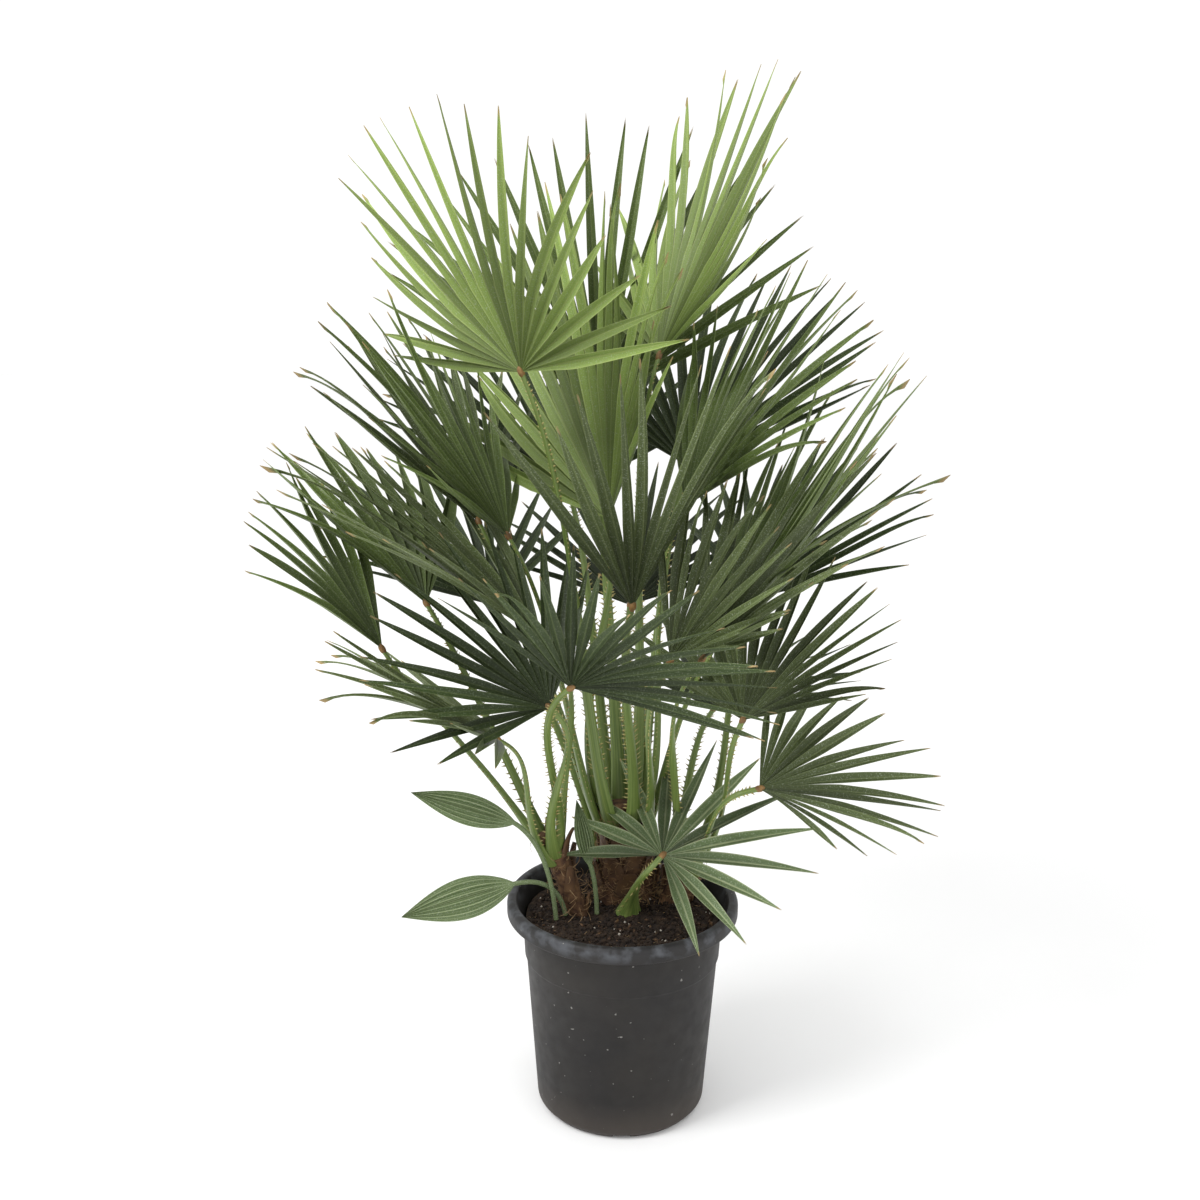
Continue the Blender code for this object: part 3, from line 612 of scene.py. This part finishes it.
def make_pot():
    """A closed wall turned about Z: flat underside, round foot, drafted body, step, rolled lip, inside.
    The lower edge of the foot is lifted over each drainage notch."""
    lip = POT_HEIGHT - LIP_HEIGHT
    outer = [(AXIS_HOLE, 0.0), (FOOT_RADIUS - 0.016, 0.0)]
    outer += [(FOOT_RADIUS - 0.004, 0.0), (FOOT_RADIUS, 0.0006)]
    outer += arc((BODY_FOOT_RADIUS - 0.010, 0.0125), 0.0100, -55, 0, 7)
    outer += [(BODY_TOP_RADIUS - 0.0001, STEP_HEIGHT - 0.001), (BODY_TOP_RADIUS + 0.0004, STEP_HEIGHT)]
    outer += [(STEP_RADIUS - 0.0004, STEP_HEIGHT + 0.002), (STEP_RADIUS, STEP_HEIGHT + 0.003)]
    outer += [(STEP_RADIUS + 0.002, lip - 0.016), (UNDER_LIP_RADIUS - 0.0008, lip - 0.002)]
    outer += [(UNDER_LIP_RADIUS + 0.0006, lip - 0.0008), (RIM_RADIUS - 0.0035, lip - 0.0009)]
    outer += arc((RIM_RADIUS - 0.003, lip + 0.002), 0.003, -80, 0, 5)
    outer += arc((RIM_RADIUS - 0.006, POT_HEIGHT - 0.006), 0.006, 0, 90, 8)
    inner = arc((MOUTH_RADIUS + 0.001, POT_HEIGHT - 0.004), 0.004, 95, 175, 6)
    inner += [(STEP_RADIUS + 0.002 - WALL, lip - 0.016), (BODY_TOP_RADIUS - WALL, STEP_HEIGHT)]
    inner += [(BODY_FOOT_RADIUS - WALL, FLOOR + 0.004), (BODY_FOOT_RADIUS - WALL - 0.004, FLOOR)]
    inner += [(AXIS_HOLE, FLOOR)]
    turns = 2 * pi * np.arange(POT_SIDES) / POT_SIDES
    points, faces = closed_lathe(outer + inner, turns)
    spacing = 2 * pi / NOTCHES
    phase = np.abs((turns + pi / 2 + spacing / 2) % spacing - spacing / 2)
    notch = np.clip((NOTCH_WIDTH / 2 / FOOT_RADIUS - phase) * NOTCH_STEEPNESS, 0, 1)
    radius = np.hypot(points[..., 0], points[..., 1])
    low = (points[..., 2] < NOTCH_HEIGHT) & (radius > FOOT_RADIUS - 0.006)
    low[len(outer):] = False
    points[..., 2] += low * notch[None] * (NOTCH_HEIGHT - points[..., 2])
    piece("pot_shell", points, faces, pot_finish(), ["pot"], smooth=35)


def soil_height(x, y):
    """Height of the soil over its level: broad swells and crumbly relief."""
    rng = np.random.default_rng(SEED)
    return 0.0016 * lumps(x, y, rng, 8, 20, 60) + 0.0011 * lumps(x, y, rng, 14, 150, 500) - SOIL_DROP


def make_soil():
    """A disc of rings whose height follows the soil's relief, closed below by the filling's own profile."""
    turns = 2 * pi * np.arange(SOIL_SIDES) / SOIL_SIDES
    wall = BODY_TOP_RADIUS - WALL - 2 * GAP
    foot = BODY_FOOT_RADIUS - WALL - 2 * GAP
    below = [(AXIS_HOLE, FLOOR + GAP), (foot - 0.006, FLOOR + GAP), (foot, FLOOR + 0.0063)]
    below += [(wall, STEP_HEIGHT), (wall + 0.002, SOIL_LEVEL - 0.012)]
    top = [(r, SOIL_LEVEL) for r in np.linspace(wall + 0.004, AXIS_HOLE, SOIL_RINGS)]
    points, faces = closed_lathe(below + top, turns)
    crown = points[len(below):]
    crown[..., 2] += soil_height(crown[..., 0], crown[..., 1])
    piece("soil_bed", points, faces, SOIL_FINISH, ["soil"], smooth=60)


def scatter(rng, count):
    """Places on the soil, even by area, with their height."""
    r = SCATTER_REACH * np.sqrt(rng.uniform(0, 1, count))
    a = rng.uniform(0, 2 * pi, count)
    x, y = r * np.cos(a), r * np.sin(a)
    return np.stack([x, y, SOIL_LEVEL + soil_height(x, y)], -1)


def make_bits(name, count, low, high, shape, finish, seed):
    """Rough lumps strewn on the soil: octahedra, stretched to a shape, each corner pushed in or out, turned
    at random."""
    rng = np.random.default_rng(seed)
    corners = np.array([(1, 0, 0), (-1, 0, 0), (0, 1, 0), (0, -1, 0), (0, 0, 1), (0, 0, -1)], float)
    upper = [(0, 2, 4), (2, 1, 4), (1, 3, 4), (3, 0, 4)]
    faces = np.array(upper + [(b, a, 5) for a, b, _ in upper])
    size = rng.uniform(low, high, (count, 1, 1))
    lump = corners[None] * rng.uniform(*LUMP_REACH, (count, 6, 1)) * np.array(shape)
    x = turned(rng, count)
    x[:, 2] *= LYING_FLAT
    x = unit(x)
    y = unit(np.cross(x, turned(rng, count)))
    points = np.einsum("nij,njk->nik", lump * size, np.stack([x, y, np.cross(x, y)], 1))
    points += scatter(rng, count)[:, None]
    points[..., 2] += size[..., 0] * min(shape) * RESTING_SHARE
    piece(name, points, many(faces, count, 6), finish, smooth=0)


# Stems.
def stem_centre(stem, height):
    """Centre and radius of a stem at heights in metres."""
    foot = np.array((*stem.foot, SOIL_LEVEL / CM)) * CM
    top = np.array(stem.top) * CM
    share = (np.asarray(height, float) - foot[2]) / (top[2] - foot[2])
    flare = np.maximum(0.0, 1 - share) ** 2
    radius = (stem.top_radius + (stem.foot_radius - stem.top_radius) * flare) * CM
    return foot + (top - foot) * share[..., None], radius


def make_stem(stem, boots):
    """Rings up the stem. The radius is the stem's own, times a swell over each old leaf base that runs
    round and up in a spiral, times a fibrous field of sine waves."""
    rows, sides = STEM_ROWS, STEM_SIDES
    rng = np.random.default_rng(SEED + len(stem.name))
    centre, radius = stem_centre(stem, np.linspace(SOIL_LEVEL - 0.003, stem.top[2] * CM, rows))
    turn = 2 * pi * np.arange(sides) / sides
    share = np.linspace(0, 1, rows)[:, None]
    wrap = (turn[None] / (2 * pi) * boots + share * WRAP_TURNS) % 1.0
    ledge = (share * LEDGE_TURNS + turn[None] / (2 * pi)) % 1.0
    swell = 0.5 * np.sin(pi * wrap) ** 0.7 + 0.5 * ledge
    fibre = lumps(np.sin(turn)[None] * 9 + 0 * share, share * 6 + np.cos(turn)[None] * 9, rng, 12, 1, 5)
    grown = radius[:, None] * (1 - BOOT_RELIEF + 2 * BOOT_RELIEF * swell + FIBRE_RELIEF * fibre)
    grown[-3:] *= np.reshape(STEM_CLOSE, (3, 1))
    ring = np.stack([np.cos(turn), np.sin(turn), 0 * turn], -1)
    points = centre[:, None] + grown[..., None] * ring[None]
    node = "stem_" + stem.name
    piece("stem_skin_" + stem.name, points, capped(rows, sides), FIBRE_FINISH, [node])


def make_boots():
    """Old leaf bases round the stems in a spiral, a golden turn apart: flattened tapering tubes that lean
    out by the square of their height and end in a cut."""
    rows, sides = 8, 12
    up = np.array((0.0, 0.0, 1.0))
    rng = np.random.default_rng(SEED + 3)
    points, faces = [], []
    for name, count in BOOT_COUNTS.items():
        stem = STEMS[name]
        height = np.linspace(SOIL_LEVEL + 0.002, stem.top[2] * CM - 0.012, count)
        centre, radius = stem_centre(stem, height)
        for k in range(count):
            turn = radians(GOLDEN_TURN) * k
            out = np.array((np.cos(turn), np.sin(turn), 0.0))
            length = rng.uniform(*BOOT_LENGTHS)
            lean = rng.uniform(*BOOT_LEANS)
            foot = centre[k] + out * radius[k] * BOOT_SET_IN
            share = np.linspace(0, 1, rows)[:, None]
            path = foot + length * (share * up + lean * share**2 * out)
            width = radius[k] * BOOT_WIDTH * (1 - BOOT_TAPERS[0] * share[:, 0] ** 1.5)
            thick = BOOT_THICK * (1 - BOOT_TAPERS[1] * share[:, 0])
            side = np.broadcast_to(np.cross(up, out), path.shape)
            faces += capped(rows, sides, len(points) * rows * sides)
            points.append(tube(path, side, width, thick, sides).reshape(-1, 3))
    piece("old_leaf_bases", np.concatenate(points), faces, SHEATH_FINISH, smooth=50)


def make_hairs():
    """Loose hairs of the old sheaths: thin three-sided strands that drift off the stems' sides along a
    straight line and bow out of it by a part of a sine."""
    rng = np.random.default_rng(SEED + 5)
    steps, paths = 5, []
    t = np.linspace(0, 1, steps)[None, :, None]
    for name, count in HAIR_COUNTS.items():
        height = rng.uniform(SOIL_LEVEL, STEMS[name].top[2] * CM, count)
        centre, radius = stem_centre(STEMS[name], height)
        turn = rng.uniform(0, 2 * pi, count)
        out = np.stack([np.cos(turn), np.sin(turn), 0 * turn], -1)
        drift = np.stack([-np.sin(turn), np.cos(turn), 0 * turn], -1) * rng.uniform(-1, 1, (count, 1))
        drift += np.array([0, 0, 1.0]) * rng.uniform(*HAIR_RISE, (count, 1))
        length = rng.uniform(*HAIR_LENGTHS, (count, 1, 1))
        path = (centre + out * radius[:, None] * HAIR_SET_OUT)[:, None] + length * t * drift[:, None]
        paths.append(path + length * HAIR_BOW * np.sin(pi * t * 0.8) * out[:, None])
    path = np.concatenate(paths)
    ahead = unit(np.gradient(path, axis=1))
    across = unit(np.cross(ahead, turned(rng, len(path))[:, None]))
    third = np.cross(ahead, across)
    width = HAIR_RADIUS * (1 - HAIR_TAPER * t)
    half = path - width * across * 0.5
    ring = np.stack([path + width * across, half + width * third, half - width * third], 2)
    quads = grid_faces(steps, 3)
    ends = [(0, 2, 1), tuple((steps - 1) * 3 + k for k in range(3))]
    faces = np.concatenate([quads[:, :3], quads[:, [0, 2, 3]], ends])
    piece("sheath_hairs", ring, many(faces, len(path), steps * 3), STRAW_FINISH, smooth=0)


# Petioles and their spines.
def blade_frame(frond):
    """Unit vectors of a blade: along its middle leaflet, across it, and out of its upper side."""
    bearing, lift, roll = np.radians([frond.bearing, frond.lift, frond.roll])
    along = np.array((np.cos(lift) * np.cos(bearing), np.cos(lift) * np.sin(bearing), np.sin(lift)))
    level = np.array((np.sin(bearing), -np.cos(bearing), 0.0))
    up = np.cross(level, along)
    return along, np.cos(roll) * level + np.sin(roll) * up, np.cos(roll) * up - np.sin(roll) * level


def petiole_path(frond, spans):
    """A cubic curve from the stem's side to the blade's hub, leaving along the stem's lean and arriving in
    line with the blade, and two more stations to the hub; with it the direction out of the stem."""
    out = np.array((np.cos(radians(frond.turn)), np.sin(radians(frond.turn)), 0.0))
    if frond.stem == "soil":
        foot = np.array((*SOIL_FEET[frond.name], 0.0)) * CM + np.array((0.0, 0.0, SOIL_LEVEL - 0.004))
        lean = np.array((0.0, 0.0, 1.0))
    else:
        stem = STEMS[frond.stem]
        centre, radius = stem_centre(stem, frond.rise * CM)
        foot = centre + out * (radius * (1 + BOOT_RELIEF) + PETIOLE_FOOT * PETIOLE_FLATNESS + CLEARANCE)
        lean = np.array(stem.top) - np.array((*stem.foot, SOIL_LEVEL / CM))
    leave = lean / lean[2] + PETIOLE_SPLAY * out
    along = blade_frame(frond)[0]
    end = np.array(frond.hub) * CM - along * HUB_STUB
    span = np.linalg.norm(end - foot)
    first, last = foot + leave * span * LEAVE_SHARE, end - along * span * ARRIVE_SHARE
    share = np.linspace(0, 1, spans + 1)[:, None]
    rest = 1 - share
    path = rest**3 * foot + 3 * rest**2 * share * first + 3 * rest * share**2 * last + share**3 * end
    return np.concatenate([path, [end + along * HUB_STUB * 0.5, end + along * HUB_STUB]]), out


def petiole_rows(frond):
    """Path, side, half width and half thickness of a petiole. The width falls by a power from foot to
    hub, with a sheath that fades by an exponential; the foot sinks into the stem's sheaths."""
    path, out = petiole_path(frond, PETIOLE_SPANS)
    share = np.clip(np.arange(len(path)) / PETIOLE_SPANS, 0, 1)[:, None]
    across = blade_frame(frond)[1]
    side = np.cross(out, (0.0, 0.0, 1.0)) * (1 - share) + across * share
    ahead = unit(np.gradient(path, axis=0))
    side = unit(side - ahead * (side * ahead).sum(-1, keepdims=True))
    share = share[:, 0]
    foot = PETIOLE_FOOT * (1.0 if frond.stem == "main" else SIDE_STEM_SHARE)
    width = PETIOLE_TIP + (foot - PETIOLE_TIP) * (1 - share) ** 1.5
    if frond.stem == "soil":
        width = width + SOIL_FOOT_WIDTH * np.exp(-share * SOIL_FOOT_FADE)
        return path, side, width, SOIL_FOOT_ROUND * width
    width = width + SHEATH_WIDTH * np.exp(-share * SHEATH_FADE)
    sunk = out * FOOT_SUNK[0] + np.array((0.0, 0.0, FOOT_SUNK[1]))
    path = path - np.exp(-share * FOOT_SUNK_FADE)[:, None] * sunk
    return path, side, width, PETIOLE_FLATNESS * np.minimum(width, PETIOLE_FOOT)


def make_petioles():
    """Oval tubes along the paths, each mapped across and along, and the spines on both edges."""
    points, faces, uv, spines = [], [], [], []
    sides = PETIOLE_SIDES
    rng = np.random.default_rng(SEED + 8)
    for frond in FRONDS:
        path, side, width, thick = petiole_rows(frond)
        rows = len(path)
        faces += capped(rows, sides, sum(len(p) for p in points))
        points.append(tube(path, side, width, thick, sides).reshape(-1, 3))
        across, along = np.meshgrid(np.arange(sides) / sides, np.linspace(0, 1, rows))
        uv.append(np.stack([across, along + MAP_SHIFT * len(uv)], -1).reshape(-1, 2))
        spines.append(spine_points(path, side, width, rng))
    nodes = ["petiole_" + frond.name for frond in FRONDS]
    piece("petioles", np.concatenate(points), faces, STALK_FINISH, nodes, uv=np.concatenate(uv))
    spine = np.array([(4, 1, 0), (4, 2, 1), (4, 3, 2), (4, 0, 3), (2, 3, 0), (1, 2, 0)])
    spines = np.concatenate(spines)
    piece("petiole_spines", spines, many(spine, len(spines), 5), SPINE_FINISH, smooth=0)


def spine_points(path, side, width, rng):
    """Four-sided spines on both edges of a petiole: four base corners on the edge, and a tip that is a
    length out of it and a share of that length forwards."""
    length = np.linalg.norm(np.diff(path, axis=0), axis=1).sum()
    count = int(length / SPINE_SPACING)
    share = np.linspace(*SPINE_RUN, count) + rng.uniform(-SPINE_STRAY, SPINE_STRAY, (2, count)) / count
    way = np.array([1.0, -1.0])[:, None] + 0 * share
    share, way = share.ravel(), way.ravel()[:, None]
    station = np.arange(len(path)) / (len(path) - 1)
    centre, out, ahead = (
        np.stack([np.interp(share, station, row) for row in rows.T], -1)
        for rows in (path, side, np.gradient(path, axis=0))
    )
    out, ahead = unit(out) * way, unit(ahead)
    face = np.cross(ahead, out)
    wide = np.interp(share, station, width)[:, None]
    long = rng.uniform(*SPINE_LENGTHS, (len(share), 1)) * SPINE_LENGTH
    long = long * np.clip(wide / SPINE_FULL_WIDTH, *SPINE_SCALES)
    root = centre + out * wide * SPINE_SET_IN
    long_half, thin_half = ahead * SPINE_BASE[0], face * SPINE_BASE[1]
    corners = [root - long_half, root - thin_half, root + long_half, root + thin_half]
    tip = root + out * long + ahead * long * SPINE_LEAN
    return np.stack([*corners, tip], 1)


# Blades.
def blade_surface(frond, theta, share, away, length):
    """Points of a fan at an angle and a share of the reach: out from the hub along a line that the cup
    lifts, bowed back and down; away is added out of the blade's upper side."""
    along, across, upper = blade_frame(frond)
    edge = theta / radians(frond.spread / 2)
    cup = radians(frond.cup) * edge**2
    flat = np.cos(theta)[..., None] * along + np.sin(theta)[..., None] * across
    line = np.cos(cup)[..., None] * flat + np.sin(cup)[..., None] * upper
    bow = -upper * BACK_BOW * frond.droop - np.array((0.0, 0.0, frond.droop))
    run = length[..., None] * (share[..., None] * line + share[..., None] ** 2 * bow)
    return np.array(frond.hub) * CM + run + away[..., None] * upper


def fan_points(frond, count, rng):
    """Grid of every leaflet of a fan, leaflet by station by place round its thin closed section. A leaflet
    fills its share of the sheet up to the joint and tapers by a power of the free length beyond it. Its
    halves rise from the fold to the edges by their distance from it; it wanders, twists, rises and curls a
    little by chance. A leaflet that would leave the model's box is made shorter."""
    spread = radians(frond.spread)
    step = spread / count
    middle = -spread / 2 + (np.arange(count) + 0.5) * step
    reach = frond.reach * CM * (1 - (1 - frond.flank) * (middle / (spread / 2)) ** 2)
    reach *= rng.uniform(SHORTEST, 1.0, count)
    sheet = np.linspace(HUB_START, frond.joined, HUB_ROWS)
    u = np.concatenate([sheet, np.linspace(frond.joined, 1, LEAF_ROWS - HUB_ROWS + 1)[1:]])
    free = np.clip((u - frond.joined) / (1 - frond.joined), 0, 1)[None, :, None]
    v = np.concatenate([ACROSS, ACROSS[::-1]])[None, None, :]
    skin = np.repeat([0.5, -0.5], len(ACROSS))[None, None, :] * LEAF_SKIN
    each = (count, 1, 1)
    wander = rng.uniform(-WANDER, WANDER, each) * step * free
    twist = rng.uniform(-TWIST, TWIST, each) * free
    raised = rng.normal(0, RAISED, each) * free**1.6
    curl = (rng.uniform(0, 1, each) < CURLED_SHARE) * rng.uniform(*CURL, each) * free**6
    scale = np.ones(each)
    extra = WIDE_LEAVED.get(frond.name, 0.0) * free * (1 - free)
    low, high = np.array(cad_box) + np.array([[BOX_MARGIN], [-BOX_MARGIN]])
    for _ in range(SHRINK_TRIES):
        length = reach[:, None, None] * scale
        span = length * u[None, :, None]
        joint = length * frond.joined * step / 2
        room = span * step / 2
        wide = np.minimum(room, np.clip(joint, *LEAF_WIDTHS) + extra)
        wide = np.where(free > 0, wide * 0.97 * (1 - TIP_TAPER * free**2.2), room)
        alpha = wide / span
        fold = FOLD * wide * (np.abs(v) - 0.5) * (1 - FOLD_FADE * free)
        away = fold + skin + twist * wide * v + raised * length - curl * length
        share = u[None, :, None] * (1 - TIP_CLEFT * free**12 * (1 - np.abs(v)))
        theta = middle[:, None, None] + wander + v * alpha
        grid = blade_surface(frond, theta, share, away, length)
        outside = ((grid < low) | (grid > high)).any(axis=(1, 2, 3))
        if not outside.any():
            break
        scale[outside] *= SHRINK
    return grid, u


def make_fans():
    """A fan for each frond, of more and finer leaflets than the plain blade has."""
    rng = np.random.default_rng(SEED + 21)
    across = np.concatenate([ACROSS, ACROSS[::-1]]) / 2 + 0.5
    for frond in FRONDS:
        count = frond.leaflets if frond.name in WIDE_LEAVED else round(FINER * frond.leaflets)
        grid, u = fan_points(frond, count, rng)
        rows, ring = grid.shape[1:3]
        end = (rows - 1) * ring
        close = np.array([(k, k + 1, 8 - k, 9 - k) for k in range(4)])
        faces = np.concatenate([grid_faces(rows, ring), close[:, ::-1], end + close])
        uv = np.stack(np.broadcast_arrays(across[None, None], u[None, :, None], grid[..., 0])[:2], -1)
        # Each leaflet's tone is a random tone times a darkening towards the hub, which is painted shade.
        shade = rng.uniform(*LEAF_SHADES, (count, 1, 1)) * (HUB_PAINTED_SHADE[0] + HUB_PAINTED_SHADE[1] * u[None, :, None])
        piece(
            "fan_" + frond.name,
            grid,
            many(faces, count, rows * ring),
            LEAF_FINISH[TONES.get(frond.name, "grey")],
            ["blade_" + frond.name],
            uv=uv.reshape(-1, 2),
            smooth=50,
            tone=np.broadcast_to(shade, grid.shape[:3]).ravel(),
        )


def make_hubs():
    """The small crest at each hub: a flattened egg over the place where the leaflets meet."""
    rows, sides = 10, 14
    lat = np.linspace(-pi / 2 + 0.02, pi / 2 - 0.02, rows)[:, None]
    lon = 2 * pi * np.arange(sides)[None] / sides
    ball = np.stack([np.cos(lat) * np.cos(lon), np.cos(lat) * np.sin(lon), np.sin(lat) + 0 * lon], -1)
    points, faces = [], []
    for frond in FRONDS:
        along, across, upper = blade_frame(frond)
        axes = np.stack([-across * HUB_SIZE[0], upper * HUB_SIZE[1], along * HUB_SIZE[2]])
        faces += capped(rows, sides, len(points) * rows * sides)
        points.append((ball @ axes + np.array(frond.hub) * CM).reshape(-1, 3))
    piece("hub_crests", np.concatenate(points), faces, HUB_FINISH, smooth=60)


# Young leaves.
def make_bud(bud):
    """A slim stalk, bent as a quadratic curve, that swells by a sine into a lens whose oval section is cut
    by sharp folds that run up it."""
    sides, rows = BUD_SIDES, BUD_ROWS
    foot, base, tip = (np.array(p) * CM for p in (bud.foot, bud.base, bud.tip))
    span = np.linalg.norm(base - foot)
    bend = foot + np.array((0.0, 0.0, BUD_RISE * span)) + BUD_LEAN * (base - foot)
    t = np.linspace(0, 1, rows // 2)[:, None]
    stalk = (1 - t) ** 2 * foot + 2 * t * (1 - t) * bend + t**2 * base
    s = np.linspace(0, 1, rows // 2 + 1)[1:, None]
    path = np.concatenate([stalk, base + (tip - base) * s])
    grow = np.concatenate([0 * t, s])[:, 0]
    width = BUD_PETIOLE * 0.9 * (1 - grow) + bud.half_width * CM * np.sin(pi * grow**0.85) + BUD_TIP
    thick = np.interp(grow, BUD_STATIONS, BUD_THICKS)
    ahead = unit(np.gradient(path, axis=0))
    side = unit(np.cross(ahead, BUD_FACING))
    out = np.cross(side, ahead)
    turn = 2 * pi * np.arange(sides)[None] / sides
    pleat = np.abs((np.cos(turn) * BUD_PLEATS) % 1.0 - 0.5) * 2 * np.clip(grow * 5, 0, 1)[:, None]
    depth = np.sin(turn) * (1 - BUD_PLEAT_DEPTH * pleat) * thick[:, None] * 1.1
    flat = (np.cos(turn) * width[:, None])[..., None] * side[:, None]
    points = path[:, None] + flat - depth[..., None] * out[:, None]
    uv = np.stack(np.broadcast_arrays((np.cos(turn) * BUD_PLEATS) % 1.0, 0.95 * grow[:, None]), -1)
    piece(
        bud.name + "_pleats",
        points,
        capped(rows, sides),
        LEAF_FINISH["young"],
        [bud.name],
        uv=uv.reshape(-1, 2),
        smooth=30,
        tone=np.ones(points.shape[:2]).ravel(),
    )


# Stage.
def make_stage():
    """A pale floor, soft light from all round, and a large soft lamp at the upper left in front."""
    mesh = bpy.data.meshes.new("floor")
    reach = FLOOR_REACH
    corners = [(-reach, -reach, 0), (reach, -reach, 0), (reach, reach, 0), (-reach, reach, 0)]
    mesh.from_pydata(corners, [], [(0, 1, 2, 3)])
    floor = bpy.data.objects.new("floor", mesh)
    bpy.context.scene.collection.objects.link(floor)
    card = mottled_finish("floor_card", (0.93, 0.93, 0.93), (0.91, 0.91, 0.91), 1.5, 0.5, 0.9, 0.0)
    mesh.materials.append(card)
    world = bpy.data.worlds.new("studio")
    world.use_nodes = True
    world.node_tree.nodes["Background"].inputs["Color"].default_value = (1, 1, 1, 1)
    world.node_tree.nodes["Background"].inputs["Strength"].default_value = SKY_STRENGTH
    bpy.context.scene.world = world
    for name, place, size, power in LAMPS:
        data = bpy.data.lights.new(name, "AREA")
        data.energy = power
        data.size = size
        lamp = bpy.data.objects.new(name, data)
        lamp.location = place
        aim = Vector(LAMP_AIM) - lamp.location
        lamp.rotation_euler = aim.to_track_quat("-Z", "Y").to_euler()
        bpy.context.scene.collection.objects.link(lamp)
    bpy.context.scene.view_settings.view_transform = "Standard"


def make_camera():
    """The photograph's view, worked out from the ellipse of the pot's rim and the foot."""
    data = bpy.data.cameras.new("camera")
    data.lens = LENS
    data.sensor_width = SENSOR
    camera = bpy.data.objects.new("camera", data)
    camera.location = CAMERA_PLACE
    pitch = Matrix.Rotation(radians(90 - CAMERA_DOWN), 3, "X")
    camera.rotation_euler = (pitch @ Matrix.Rotation(CAMERA_ROLL, 3, "Z")).to_euler()
    bpy.context.scene.collection.objects.link(camera)
    bpy.context.scene.camera = camera


make_pot()
make_soil()
make_bits("soil_crumbs", 2200, 0.0012, 0.0055, (1.0, 0.8, 0.6), SOIL_FINISH, SEED + 31)
make_bits("bark_chips", 90, 0.003, 0.007, (1.0, 0.55, 0.25), SHEATH_FINISH, SEED + 34)
make_bits("perlite_bits", 110, 0.0010, 0.0026, (1.0, 0.9, 0.8), PERLITE_FINISH, SEED + 32)
make_bits("straw_bits", 110, 0.004, 0.010, (1.0, 0.09, 0.06), STRAW_FINISH, SEED + 33)
for stem_name, boots_round in BOOTS_ROUND.items():
    make_stem(STEMS[stem_name], boots_round)
make_boots()
make_hairs()
make_petioles()
make_fans()
make_hubs()
for bud in BUDS:
    make_bud(bud)
make_stage()
make_camera()
